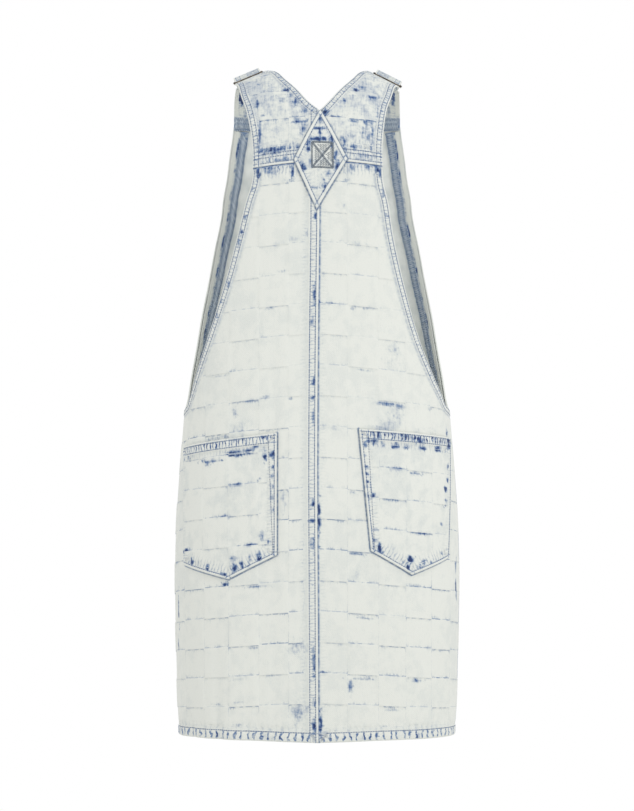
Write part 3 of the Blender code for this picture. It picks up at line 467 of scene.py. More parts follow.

# Where the bleach left more of it, and on the yoke two marks of painted shade: places, half sizes in mm and
# amounts.
SPOTS = {
    "back": (
        # x, height, half_width, half_height, amount
        (-74, -139, 3, 9, 0.95), (-59, -137, 15, 7, 0.5), (-31, -139, 2.5, 10, 0.85),
        (-35, -151, 8, 3, 0.55), (-63, -155, 9, 2, 0.45), (-81, -161, 5, 2, 0.7), (75, -136, 3, 8, 0.9),
        (80, -141, 3, 8, 0.85), (63, -133, 8, 6, 0.65), (43, -134, 8, 8, 0.55), (64, -155, 9, 3, 0.4),
        (40, -150, 8, 2, 0.4), (35, -184, 4, 5, 0.35), (-91, -196, 3, 4, 0.8), (-96, -215, 3, 4, 0.9),
        (-99, -228, 3, 6, 0.7), (-112, -281, 3, 7, 0.6), (-123, -302, 3, 7, 0.7), (-127, -319, 3, 5, 0.7),
        (84, -164, 3, 8, 0.7), (90, -195, 5, 2, 0.8), (101, -233, 3, 4, 0.7), (108, -262, 3, 6, 0.5),
        (121, -318, 3, 8, 0.6), (-2, -195, 2.5, 6, 0.9), (-13, -215, 2, 8, 0.5), (-3, -293, 2.5, 16, 0.7),
        (3, -307, 3, 4, 0.95), (-6, -329, 4, 9, 0.6), (-4, -406, 3, 7, 0.7), (-5, -426, 3, 3, 1),
        (-5, -450, 2.5, 14, 0.6), (-30, -225, 8, 4, 0.32), (-45, -230, 8, 2, 0.4), (57, -231, 18, 2, 0.4),
        (31, -227, 6, 2, 0.32), (-43, -266, 9, 4, 0.32), (-66, -270, 8, 2, 0.28), (19, -269, 15, 2, 0.36),
        (50, -270, 8, 2, 0.32), (17, -307, 13, 2.5, 0.56), (-59, -312, 9, 2.5, 0.4),
        (61, -312, 18, 2, 0.44), (46, -313, 4, 4, 0.4), (-70, -346, 10, 16.8, 0.17),
        (97, -366, 10, 9.6, 0.31), (94, -378, 16.25, 15.6, 0.24), (61, -391, 13, 2, 0.4),
        (90, -390, 9, 2.5, 0.36), (-108, -392, 6, 2.5, 0.48), (-121, -398, 11, 2, 0.4),
        (-133, -438, 9, 3, 0.38), (-86, -430, 15, 2, 0.45), (-66, -426, 5, 3, 0.45),
        (-33, -427, 6, 2.5, 0.45), (88, -434, 16, 2.5, 0.56), (106, -438, 8, 4, 0.45),
        (101, -449, 16.25, 14.4, 0.26), (143, -440, 10, 2.5, 0.38), (-104, -446, 4, 9, 0.4),
        (-90, -462, 30, 9.6, 0.22), (-120, -476, 16, 4, 0.41), (-135, -479, 14, 3.5, 0.38),
        (-98, -473, 14, 3, 0.34), (-152, -483, 12, 2, 0.36), (19, -465, 12, 3, 0.38), (5, -463, 5, 3, 0.6),
        (-48, -468, 6, 2, 0.3), (-19, -466, 9, 3, 0.34), (79, -465, 24, 4, 0.38),
        (91, -461, 18.75, 9.6, 0.26), (129, -472, 11, 4, 0.41), (145, -469, 17.5, 8.4, 0.26),
        (166, -472, 3, 5, 0.7), (-42, -556, 4, 28, 0.3), (-6, -581, 6, 3, 1), (-6, -560, 3, 9, 0.8),
        (-6, -610, 3, 12, 0.8), (2, -578, 2.5, 28, 0.8), (50, -623, 14, 2, 0.5), (45, -546, 10, 2, 0.36),
        (48, -581, 8, 2.4, 0.32), (-116, -663, 5, 4, 0.9), (-75, -665, 16, 1.6, 0.58),
        (-140, -670, 14, 1.6, 0.5), (51, -653, 13.75, 13.2, 0.2), (91, -664, 12, 1.6, 0.43),
        (147, -668, 12, 2, 0.58), (116, -663, 9, 2.4, 0.32), (-80, -742, 10, 2.4, 0.43),
        (-103, -782, 12, 2.4, 0.54), (-55, -776, 11, 2.4, 0.43), (-23, -741, 16.25, 14.4, 0.34),
        (-129, -815, 10, 2, 0.43), (-101, -812, 11, 2.4, 0.36), (-20, -822, 13.75, 16.8, 0.37),
        (60, -704, 14, 2.4, 0.43), (49, -738, 10, 2.4, 0.43), (60, -781, 16, 2.4, 0.5),
        (42, -791, 4, 13, 0.5), (95, -821, 13, 2.4, 0.47), (127, -785, 10, 2.4, 0.5),
        (146, -746, 10, 2.4, 0.5), (148, -705, 8, 2, 0.43), (4, -840, 3.5, 16, 0.95), (7, -773, 5, 4, 0.7),
        (-4, -759, 3, 20, 0.75), (-3, -812, 3, 6, 0.85), (-3, -842, 3, 10, 0.9), (-99, -840, 9, 2.4, 0.43),
        (21, -845, 10, 2, 0.43), (86, -842, 13, 2.4, 0.43), (-176.5, -700, 1.8, 24, 0.9),
        (-177.5, -745, 1.8, 10, 0.8), (178, -672, 3, 14, 0.9), (178, -640, 3, 14, 0.6),
        (-125, -855, 7, 6, 0.3), (-53, -856, 22.5, 8.4, 0.28), (-4, -856, 21.25, 9.6, 0.32),
        (61, -857, 32.5, 8.4, 0.28), (127, -855, 6, 6, 0.33), (96, -855, 12, 5, 0.2),
        (-90, -855, 12, 6, 0.17), (-176, -858, 6, 8, 0.35),
    ),
    "yoke": (
        # x, height, half_width, half_height, amount
        # The first two are painted shade along the crease where the left strap bends towards its slide.
        (-84, -20.5, 5, 1.8, 0.6), (-75, -24, 5, 1.8, 0.45), (-38, -34, 6, 4, 0.77), (-26, -48, 6, 7, 0.6),
        (-34, -40, 10, 6, 0.47), (-44, -47, 11, 8, 0.39), (-76, -51, 3, 8, 0.65), (-70, -71, 3.5, 5, 0.86),
        (-56, -73, 10, 2, 0.52), (-23, -74, 10, 4, 0.86), (-17, -84, 7, 10, 0.52), (-26, -107, 9, 8, 0.52),
        (-40, -90, 16, 12, 0.26), (-52, -112, 18, 4, 0.82), (-73, -113, 5, 3, 0.77),
        (-73, -92, 2.5, 18, 0.73), (-46, -126, 14, 6, 0.69), (-15, -60, 5, 6, 0.52), (11, -65, 5, 7, 0.86),
        (23, -69, 11, 2.5, 0.77), (50, -33, 4, 4, 0.77), (57, -29, 9, 6, 0.47), (71, -43, 9, 4, 0.6),
        (35, -47, 3, 4, 0.6), (44, -43, 3, 5, 0.52), (45, -74, 10, 2.5, 0.52), (63, -76, 8, 5, 0.6),
        (62, -90, 11, 13, 0.52), (45, -90, 8, 12, 0.39), (48, -107, 8, 5, 0.73), (69, -108, 5, 7, 0.6),
        (71, -90, 2.5, 16, 0.69), (19, -88, 5, 9, 0.52), (33, -101, 5, 7, 0.69), (36, -111, 5, 4, 0.77),
        (58, -122, 16, 8, 0.52), (77, -60, 2.5, 16, 0.43),
    ),
    "diamond": (
        # x, height, half_width, half_height, amount
        (4, -74, 5, 6, 0.55), (2, -85, 10, 2.5, 0.9), (4, -91, 2, 6, 0.8), (4, -98, 13, 3, 1),
        (-11, -107, 2.5, 8, 0.9), (19, -102, 2.5, 9, 0.85), (23, -118, 3, 10, 0.7),
        (-8, -126, 2.5, 9, 0.5), (26, -130, 5, 8, 0.85), (-18, -135, 4, 7, 1), (10, -156, 2.5, 8, 0.9),
        (11, -165, 4, 5, 0.85), (-1, -160, 6, 2, 0.6), (14, -142, 7, 6, 0.5),
    ),
    "strap": (
        # x, height, half_width, half_height, amount
        (-101.5, -30, 4, 16, 1), (101.5, -30, 4, 16, 1), (-96, -48, 5, 9, 0.5), (96, -46, 5, 10, 0.5),
    ),
    "pocket_left": (
        # x, height, half_width, half_height, amount
        (-108, -498, 9, 3.5, 0.9), (-97, -498, 8, 3.5, 0.85), (-86, -495, 6, 4, 0.8),
        (-161, -504, 10, 3, 0.95), (-132, -506, 18, 2.5, 1), (-136, -511, 8, 5, 0.5),
        (-78, -490, 8, 3, 0.7), (-65, -500, 3, 7, 0.95), (-56, -498, 5, 6, 0.9), (-56, -514, 3, 3, 0.9),
        (-56, -526, 3, 3, 0.7), (-56, -538, 3, 4, 0.6), (-56, -552, 3, 4, 0.6), (-56, -566, 3, 5, 0.6),
        (-100, -537, 11, 2.5, 0.7), (-116, -577, 11, 2.5, 0.7), (-72, -531, 3, 6, 0.6),
        (-63, -609, 7, 4, 0.85), (-69, -600, 3, 9, 0.5), (-83, -612, 13, 2.5, 0.65),
        (-165, -622, 8, 4, 0.9), (-156, -635, 3.5, 6, 0.85), (-137, -644, 3, 8, 0.85),
        (-117, -651, 5, 5, 0.95), (-103, -642, 4, 7, 0.8), (-94, -638, 3, 6, 0.8), (-104, -629, 6, 5, 0.5),
        (-72, -628, 3.5, 7, 0.85), (-85, -641, 4, 4, 0.8), (-84, -628, 3, 6, 0.5),
        (-140, -482, 30, 5, 0.6), (-100, -477, 16, 5, 0.7), (-68, -475, 10, 5, 0.6),
    ),
    "pocket_right": (
        # x, height, half_width, half_height, amount
        (72, -482, 6, 4, 0.95), (64, -481, 3.5, 4, 0.9), (77, -473, 2.5, 6, 0.95), (70, -472, 2.5, 5, 0.8),
        (60, -486, 5, 5, 0.75), (59, -501, 4, 4, 0.6), (61, -514, 4, 2.5, 0.8), (62, -523, 3, 2.5, 0.9),
        (62, -532, 3.5, 3, 1), (61, -539, 3, 2.5, 0.8), (62, -550, 3.5, 4.5, 1), (64, -565, 3, 3, 0.6),
        (70, -550, 3.5, 3.5, 0.9), (83, -485, 3, 3, 0.8), (98, -487, 7, 4, 0.8), (112, -489, 5, 3.5, 0.7),
        (129, -481, 8, 5, 0.9), (152, -492, 11, 3.5, 1), (133, -492, 6, 2.5, 0.7), (166, -489, 5, 4, 1),
        (164, -480, 3.5, 6, 0.9), (165, -514, 3, 3, 0.7), (164, -531, 3.5, 4, 0.85),
        (161, -543, 4.5, 4, 0.9), (161, -560, 3, 5, 0.8), (156, -587, 3, 3, 0.6), (102, -517, 13, 3, 0.6),
        (124, -523, 11, 2, 0.6), (95, -556, 17, 2, 0.5), (124, -558, 12, 3, 0.45), (74, -593, 7, 2.5, 0.6),
        (93, -592, 13, 2.5, 0.5), (129, -598, 17, 2.2, 0.75), (72, -606, 3, 3, 0.9),
        (78, -616, 2.5, 8, 0.9), (77, -622, 5, 4, 0.85), (117, -631, 5, 5, 0.95), (114, -641, 3, 7, 0.95),
        (134, -634, 3.5, 4, 0.85), (129, -641, 3, 6, 0.75), (107, -634, 3, 3, 0.6), (96, -634, 5, 3, 0.6),
        (143, -636, 3, 5, 0.6), (156, -625, 3, 6, 0.5), (105, -475, 30, 5, 0.45), (150, -480, 14, 5, 0.5),
    ),
}


# ---------------------------------------------------------------- the worn form


def fair(value, table, column):
    """A column of a table of mm against height, read smoothly at heights in metres."""
    rows = sorted(table)
    at = np.array([row[0] for row in rows]) * MM
    level = np.array([row[column] for row in rows]) * MM
    slope = np.gradient(level, at)
    value = np.clip(value, at[0], at[-1])
    k = np.clip(np.searchsorted(at, value) - 1, 0, len(at) - 2)
    span = at[k + 1] - at[k]
    t = (value - at[k]) / span
    return (
        (1 + 2 * t) * (1 - t) ** 2 * level[k]
        + t * (1 - t) ** 2 * span * slope[k]
        + t * t * (3 - 2 * t) * level[k + 1]
        + t * t * (t - 1) * span * slope[k + 1]
    )


def quarter(side, height):
    """x, depth and arc length along a quarter of the section, from the centre to the side."""
    half_width = fair(height, SECTIONS, 1)[:, None]
    depth = fair(height, SECTIONS, 2 if side == BACK else 3)[:, None]
    turn = np.linspace(0, math.pi / 2, ARC_STEPS)[None, :]
    x = half_width * np.sin(turn) ** (2 / ROUNDNESS)
    y = depth * np.cos(turn) ** (2 / ROUNDNESS)
    run = np.hypot(np.diff(x, axis=1), np.diff(y, axis=1)).cumsum(axis=1)
    return x, y, np.hstack([np.zeros((len(run), 1)), run])


def girth(side, height):
    """Cloth length from the centre to the side seam at a height."""
    return quarter(side, np.atleast_1d(height))[2][:, -1]


def read_along(key, along, wanted):
    """Reads the rows of along where the rising rows of key reach wanted."""
    k = np.clip((key < wanted[:, None]).sum(axis=1) - 1, 0, key.shape[1] - 2)
    row = np.arange(len(k))
    share = (wanted - key[row, k]) / np.maximum(key[row, k + 1] - key[row, k], 1e-12)
    return along[row, k] + share * (along[row, k + 1] - along[row, k])


def ridge(x):
    """Height of the shoulder line above the shoulder's start."""
    slope = np.where(np.asarray(x) < 0, SHOULDER_SLOPE[LEFT], SHOULDER_SLOPE[RIGHT])
    return -SHOULDER_START - slope * np.maximum(np.abs(x) - SHOULDER_NECK, 0)


def lay(side, s, height):
    """Points of the worn form, s round the body and height up the cloth."""
    low = np.minimum(height, SHOULDER_START)
    across, depth, run = quarter(side, low)
    x = read_along(run, across, np.abs(s))
    y = read_along(run, depth, np.abs(s))
    rise = ridge(np.sign(s) * x)
    lean = np.maximum(height - SHOULDER_START, 0) / (0.5 * (rise + y))
    return np.stack([np.sign(s) * x, side * y * np.cos(lean), low + rise * np.sin(lean)], axis=1)


def row_drop(side, s, q):
    """How far a woven row has dropped where it is s away from the centre."""
    level = 0.5 + 0.5 * np.clip((q - HEM) / (LEVEL_FROM - HEM), 0, 1)
    return ROW_DROP * level * (np.abs(s) / girth(side, q)) ** DROP_POWER


def up_the_cloth(side, s, height):
    """How far up the cloth a height of the form is, where the woven rows have dropped."""
    q = height
    for _ in range(SETTLING_ROUNDS):
        q = height + row_drop(side, np.array([s]), np.array([q]))[0]
    return q


def fold(side, s, q):
    """How far the folds stand out or in."""
    out = np.zeros_like(s)
    for face, centre, half_width, depth, top, bottom, lean in FOLDS:
        if face != side:
            continue
        down = np.clip((top * MM - q) / ((top - bottom) * MM), 0, 1)
        across = (s - (centre + lean * down) * MM) / (half_width * MM)
        out += depth * MM * down * down * (3 - 2 * down) * np.exp(-across * across)
    if side == BACK and q.max() > SHOULDER_START:
        line = np.array([flat_point(BACK, x * MM, height * MM) for x, height in CREASE])
        away = follow(np.stack([s, q], axis=1), line)[0] / CREASE_SIZE[0]
        out -= CREASE_SIZE[1] * np.exp(-away * away)
    return out


def worn(side, flat, lift):
    """Points of cloth worn on the form, lifted off the middle of the panel cloth."""
    s, q = np.array(flat, float).T
    height = q - row_drop(side, s, q)
    nudge = 0.5 * MM
    here = lay(side, s, height)
    along = lay(side, s + nudge, height) - lay(side, s - nudge, height)
    up = lay(side, s, height + nudge) - lay(side, s, height - nudge)
    out = -side * np.cross(along, up)
    out /= np.linalg.norm(out, axis=1)[:, None]
    return here + out * (np.asarray(lift) + fold(side, s, q))[:, None]


def flat_point(side, x, height):
    """The cloth coordinates of a point of the form, given across and up."""
    low = np.array([min(height, SHOULDER_START)])
    across, depth, run = quarter(side, low)
    s = read_along(across, run, np.array([abs(x)]))
    y = read_along(across, depth, np.array([abs(x)]))
    rise = ridge(np.array([x]))
    up = height
    if height > SHOULDER_START:
        share = min((height - SHOULDER_START) / rise[0], 0.9999)
        up = SHOULDER_START + math.asin(share) * 0.5 * (rise[0] + y[0])
    return (math.copysign(s[0], x), up_the_cloth(side, s[0], up))


def edge(side, table, column, sign):
    """Cloth coordinates of a table of mm, from bottom to top."""
    rows = sorted(table)
    return [flat_point(side, sign * row[column] * MM, row[0] * MM) for row in rows]


def over_shoulder(side, x, reach):
    """Cloth coordinates of a point near the shoulder line, reach away from it."""
    s, _ = flat_point(side, x, SHOULDER_START)
    depth = abs(lay(side, np.array([s]), np.array([SHOULDER_START]))[0, 1])
    lean = math.acos(reach / depth)
    up = SHOULDER_START + lean * 0.5 * (ridge(np.array([x]))[0] + depth)
    return (s, up_the_cloth(side, s, up))


def side_seam(side, sign):
    """The side seam in cloth coordinates, from the hem up."""
    seam = []
    for height in np.linspace(HEM, ARMPIT, SEAM_POINTS):
        around = girth(side, np.array([height]))[0] - SEAM_SLIT
        seam.append((sign * around, up_the_cloth(side, around, height)))
    return seam


def hem_line(side, start, end):
    """The hem, nearly level all round, in cloth coordinates."""
    line = []
    around = girth(side, np.array([HEM]))[0]
    for s in np.linspace(start, end, HEM_POINTS):
        level = HEM + HEM_RISE * math.sin(math.pi * min(abs(s) / around, 1.0))
        line.append((s, up_the_cloth(side, s, level)))
    return line


# ---------------------------------------------------------------- cutting the cloth


def rounded(points, step=EDGE_STEP):
    """A line through points, rounded between them and divided evenly."""
    points = np.array(points, float)
    padded = np.vstack([2 * points[0] - points[1], points, 2 * points[-1] - points[-2]])
    t = np.linspace(0, 1, 16, endpoint=False)[:, None]
    fine = []
    for before, a, b, after in zip(padded, padded[1:], padded[2:], padded[3:]):
        span = np.linalg.norm(b - a)
        leave = (b - before) * span / max(np.linalg.norm(a - before) + span, 1e-9)
        reach = (after - a) * span / max(np.linalg.norm(after - b) + span, 1e-9)
        fine.append(
            (2 * t**3 - 3 * t**2 + 1) * a + (t**3 - 2 * t**2 + t) * leave
            + (3 * t**2 - 2 * t**3) * b + (t**3 - t**2) * reach
        )
    fine = np.vstack(fine + [points[-1:]])
    run = np.concatenate([[0], np.linalg.norm(np.diff(fine, axis=0), axis=1).cumsum()])
    places = np.linspace(0, run[-1], max(2, math.ceil(run[-1] / step) + 1))
    return np.stack([np.interp(places, run, fine[:, k]) for k in (0, 1)], axis=1)


def beside(line, distance):
    """A line moved to its left by a distance."""
    run = np.gradient(line, axis=0)
    run /= np.linalg.norm(run, axis=1)[:, None]
    return line + distance * np.stack([-run[:, 1], run[:, 0]], axis=1)


def within(flat, outline):
    """Which flat points are inside an outline."""
    found = np.zeros(len(flat), bool)
    x, y = flat.T
    for (ax, ay), (bx, by) in zip(outline, np.roll(outline, -1, axis=0)):
        if ay != by:
            crossing = (ay > y) != (by > y)
            found ^= crossing & (x < (bx - ax) * (y - ay) / (by - ay) + ax)
    return found


def follow(flat, line):
    """How far each flat point is from a line, and how far along the line its nearest place is."""
    away, along, gone = np.full(len(flat), 1.0), np.zeros(len(flat)), 0.0
    for a, b in zip(line[:-1], line[1:]):
        run = b - a
        length = np.linalg.norm(run)
        share = np.clip(((flat - a) @ run) / length**2, 0, 1)
        distance = np.linalg.norm(flat - a - share[:, None] * run, axis=1)
        nearer = distance < away
        away[nearer] = distance[nearer]
        along[nearer] = gone + share[nearer] * length
        gone += length
    return away, along


def lattice(outline, start, centre, spacing):
    """Points on the lines of the basket weave and evenly between them."""
    low, high = outline.min(axis=0), outline.max(axis=0)
    row_near = ROW_OVERHANG + LEDGE_HALF
    row_lines = (-row_near, LEDGE_HALF - ROW_OVERHANG, ROW_OVERHANG - LEDGE_HALF, row_near)
    column_near = COLUMN_OVERHANG + COLUMN_HALF
    places = []
    for axis, size, origin, near in (
        (0, BLOCK_WIDTH, centre, (-column_near, 0, column_near)),
        (1, BLOCK_HEIGHT, start, row_lines),
    ):
        gap = size - 2 * near[-1]
        count = round(gap / spacing)
        lines = []
        first = math.floor((low[axis] - origin) / size)
        last = math.ceil((high[axis] - origin) / size)
        for k in range(first, last + 1):
            lines += [origin + k * size + n for n in near]
            lines += [origin + k * size + near[-1] + gap * j / count for j in range(1, count)]
        places.append(lines)
    return np.stack(np.meshgrid(*places), axis=-1).reshape(-1, 2)


def weave(flat, start, centre):
    """Lift of the basket weave, mm on to the raised blocks by row, and a number for each block."""
    s, q = flat.T
    across, up = (s - centre) / BLOCK_WIDTH, (q - start) / BLOCK_HEIGHT
    column, row = np.floor(across), np.floor(up)
    side = np.where((column + row) % 2 == 0, 1.0, -1.0)
    to_row = side * np.minimum(up - row, row + 1 - up) * BLOCK_HEIGHT + ROW_OVERHANG
    to_column = side * np.minimum(across - column, column + 1 - across) * BLOCK_WIDTH + COLUMN_OVERHANG
    by_row, by_column = to_row / LEDGE_HALF, to_column / COLUMN_HALF
    onto = np.where(side > 0, np.minimum(by_row, by_column), np.maximum(by_row, by_column))
    share = np.clip(0.5 + 0.5 * onto, 0, 1)
    luck = np.sin(column * 12.9898 + row * 78.233) * 43758.5453
    return BLOCK_RISE * share, to_row / MM, luck - np.floor(luck)


def ripple(along):
    """An uneven wave along a seam, from about -1 to 1, where the thread draws the cloth in."""
    turn = 2 * math.pi * along / MM
    return sum(share * np.sin(turn / wavelength + start) for wavelength, share, start in DRAW)


def left_blue_and_shade(layer, flat):
    """How much indigo the bleach left at flat points of a layer, in uneven patches, with the painted shade marks
    listed among the spots.
    """
    side = FRONT if layer in ("front", "strap") else BACK
    blue = np.full(len(flat), WASH[layer])
    uneven = 1 + 0.30 * ripple(flat[:, 0] - 0.7 * flat[:, 1]) - 0.25 * ripple(flat[:, 1] + 1.3 * flat[:, 0])
    for x, height, half_width, half_height, amount in SPOTS.get(layer, ()):
        s, q = flat_point(side, x * MM, height * MM)
        away = np.hypot((flat[:, 0] - s) / (half_width * MM), (flat[:, 1] - q) / (half_height * MM))
        away *= uneven
        blue = np.maximum(blue, amount * np.exp(-(away**SPOT_FALL)))
    return blue


def off_patches(layer, flat):
    """How far each flat point of a layer is from the sewn edges of the patches laid on it, in mm."""
    away = np.full(len(flat), FAR)
    if layer in ("back", "yoke"):
        laid = [[row[1:] for row in rows[1:] + rows[:1]] for rows in POCKETS.values()]
        laid.append(DIAMOND + DIAMOND[:1])
        for corners in laid:
            line = np.array([flat_point(BACK, x * MM, height * MM) for x, height in corners])
            away = np.minimum(away, follow(flat, line)[0] / MM)
    return away


def seen_area(outline):
    """Area inside an outline, positive if it runs counter-clockwise."""
    x, y = outline.T
    return 0.5 * float(np.sum(x * np.roll(y, -1) - np.roll(x, -1) * y))


def inwards_at(flat, line, ends):
    """How far in from a line, in mm, a row of stitches is beside flat points, given at its two ends."""
    low, high = line[:, 1].min(), line[:, 1].max()
    return ends[0] + (ends[1] - ends[0]) * np.clip((flat[:, 1] - low) / max(high - low, MM), 0, 1)


def cut(runs, layer, start=ROW_START, centre=WEAVE_CENTRE, woven=1.0, spacing=FINE_STEP):
    """A flat piece of cloth with its edges' finish: runs are (line, finish) in order round the piece."""
    outline = np.vstack([line[:-1] for line, _ in runs])
    if seen_area(outline) < 0:
        runs = [(line[::-1], finish) for line, finish in runs[::-1]]
        outline = np.vstack([line[:-1] for line, _ in runs])
    near = []
    for line, finish in runs:
        near += [beside(line, row[0] * MM) for row in finish[1:-1]]
    near = np.vstack(near)
    plain = lattice(outline, start, centre, spacing)
    plain = plain[within(plain, outline)]
    near = near[within(near, outline)]
    away, _ = follow(near, np.vstack([outline, outline[:1]]))
    near = near[away > CLEAR_OF_EDGE]
    clear = np.full(len(plain), True)
    for line, finish in runs:
        clear &= follow(plain, line)[0] > finish[-2][0] * MM + 0.4 * spacing
    inner = np.vstack([near, plain[clear]])
    _, first = np.unique(np.round(inner / POINTS_APART).astype(int), axis=0, return_index=True)
    inner = inner[np.sort(first)]
    points = [Vector(p) for p in np.vstack([outline, inner])]
    count = len(outline)
    edges = [(k, (k + 1) % count) for k in range(count)]
    made = geometry.delaunay_2d_cdt(points, edges, [list(range(count))], 1, 1e-7)
    flat = np.array([tuple(p) for p in made[0]])
    number = {source: k for k, sources in enumerate(made[3]) for source in sources}
    rim = [number[k] for k in range(count)]
    piece = {"flat": flat, "faces": [list(face) for face in made[2]], "rim": rim, "outline": outline}
    piece["runs"] = runs
    lift, row, luck = weave(flat, start, centre)
    fields = {key: np.zeros(len(flat)) for key in ("streak", "line", "pale")}
    needle = np.full(len(flat), FAR)
    band_at, nearest = np.zeros((len(flat), 3)), np.full(len(flat), 1.0)
    rise, on_band = np.zeros(len(flat)), np.zeros(len(flat))
    for k, (line, finish) in enumerate(runs):
        away, along = follow(flat, line)
        table = np.array(finish).T
        for key, column_values in zip(("streak", "line", "pale"), table[2:]):
            fields[key] = np.maximum(fields[key], np.interp(away / MM, table[0], column_values))
        for ends in STITCH_ROWS.get(finish, ()):
            needle = np.minimum(needle, np.abs(away / MM - inwards_at(flat, line, ends)))
        here = np.interp(away / MM, table[0], table[1]) * MM
        inside_band = np.clip((table[0][-2] * MM - away) / BAND_FADE, 0, 1) * (table[1].max() > 0.5)
        rise = np.where(away < nearest, here, rise)
        on_band = np.maximum(on_band, inside_band)
        closer = away < nearest
        pace = PUCKER_PACE.get(finish, 1.0)
        band_at[closer] = np.stack([along * pace + 10 * k, away, along], axis=1)[closer]
        nearest = np.minimum(nearest, away)
    pucker = PUCKER * fields["streak"] * ripple(band_at[:, 0])
    piece["lift"] = CLOTH_HALF + np.where(on_band > 0, 0, woven * lift) + rise + pucker
    hold = (1 - HOLD_LUCK + HOLD_LUCK * luck) * np.interp(flat[:, 1] / MM, *HELD)
    piece["fields"] = {
        **fields,
        "needle": needle,
        "ledge": np.where(woven > 0, row, FAR) + OFF_BAND * on_band,
        "hold": hold * (POCKET_HELD if layer in POCKETS else 1),
        "patch": off_patches(layer, flat),
        "indigo": left_blue_and_shade(layer, flat),
    }
    piece["band"] = band_at
    return piece


def shell(name, side, piece, outer, inner, finishes):
    """A closed thin shell on the form: outer is added to the piece's own lift, inner is the other face."""
    flat, count = piece["flat"], len(piece["flat"])
    inner_lift = np.full(count, inner)
    inner_lift[piece["rim"]] += RIM_ROLL
    points = np.vstack([worn(side, flat, piece["lift"] + outer), worn(side, flat, inner_lift)])
    faces = piece["faces"] + [[count + k for k in face[::-1]] for face in piece["faces"]]
    rim = piece["rim"]
    faces += [[a, a + count, b + count, b] for a, b in zip(rim, rim[1:] + rim[:1])]
    if side == FRONT:
        faces = [face[::-1] for face in faces]
    made = body(name, points, faces, finishes)
    half = len(piece["faces"])
    slots = np.zeros(len(faces), int)
    slots[half : 2 * half] = len(finishes) - 1
    made.data.polygons.foreach_set("material_index", slots)
    for key, values in piece["fields"].items():
        note(made, key, np.tile(values, 2))
    note(made, "cloth", np.tile(np.hstack([flat, np.zeros((count, 1))]), (2, 1)))
    note(made, "band", np.tile(piece["band"], (2, 1)))
    return made


def note(made, key, values):
    """Keeps a number or a place for each point of a mesh, for its finish to read."""
    kind, field = ("FLOAT", "value") if values.ndim == 1 else ("FLOAT_VECTOR", "vector")
    made.data.attributes.new(key, kind, "POINT").data.foreach_set(field, values.astype(np.float32).ravel())


def body(name, points, faces, finishes, smooth=50):
    """A mesh object in the scene."""
    mesh = bpy.data.meshes.new(name)
    mesh.from_pydata(np.asarray(points).tolist(), [], faces)
    mesh.validate()
    mesh.shade_smooth()
    mesh.set_sharp_from_angle(angle=math.radians(smooth))
    made = bpy.data.objects.new(name, mesh)
    bpy.context.scene.collection.objects.link(made)
    for finish in finishes:
        mesh.materials.append(finish)
    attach(made, "root")
    return made


# ---------------------------------------------------------------- finishes


def linear(hex_colour):
    """An sRGB hex colour as linear red, green, blue and alpha."""
    parts = [int(hex_colour[k : k + 2], 16) / 255 for k in (1, 3, 5)]
    return [p / 12.92 if p <= 0.04045 else ((p + 0.055) / 1.055) ** 2.4 for p in parts] + [1.0]


def add(tree, kind, sockets=None, **settings):
    """Adds a node with its settings, and sets or links its sockets."""
    made = tree.nodes.new("ShaderNode" + kind)
    for key, value in settings.items():
        setattr(made, key, value)
    for key, value in (sockets or {}).items():
        if isinstance(value, bpy.types.NodeSocket):
            tree.links.new(value, made.inputs[key])
        else:
            made.inputs[key].default_value = value
    return made


def set_colours(ramp, stops):
    """Gives a ramp its places and colours."""
    for place, _ in stops[1:-1]:
        ramp.color_ramp.elements.new(place)
    for spot, (place, colour) in zip(ramp.color_ramp.elements, stops):
        spot.position = place
        spot.color = linear(colour)


def new_finish(name, colour, roughness, metallic=0.0):
    """A material with its shader, ready for more nodes."""
    finish = bpy.data.materials.new(name)
    finish.use_nodes = True
    tree = finish.node_tree
    shader = tree.nodes["Principled BSDF"]
    shader.inputs["Base Color"].default_value = linear(colour)
    shader.inputs["Roughness"].default_value = roughness
    shader.inputs["Metallic"].default_value = metallic
    return finish, tree, shader


GRAIN = (
    # grain, coordinates, size across and up in mm, detail
    ("cloud", "cloth", 60, 75, 4),
    ("patchy", "cloth", 11, 15, 4),
    ("combed", "cloth", 2.2, 12, 3),
    ("speck", "cloth", 1.6, 2.2, 2),
    ("broken", "cloth", 7, 4, 3),
    ("drawn", "band", 5, 9, 2),
)
RUNG_PITCH = 4.5 * MM

# Twill lines 0.6 mm apart on the real cloth are drawn 1.8 mm apart, so that they show.
TWILL_SCALE = 0.246
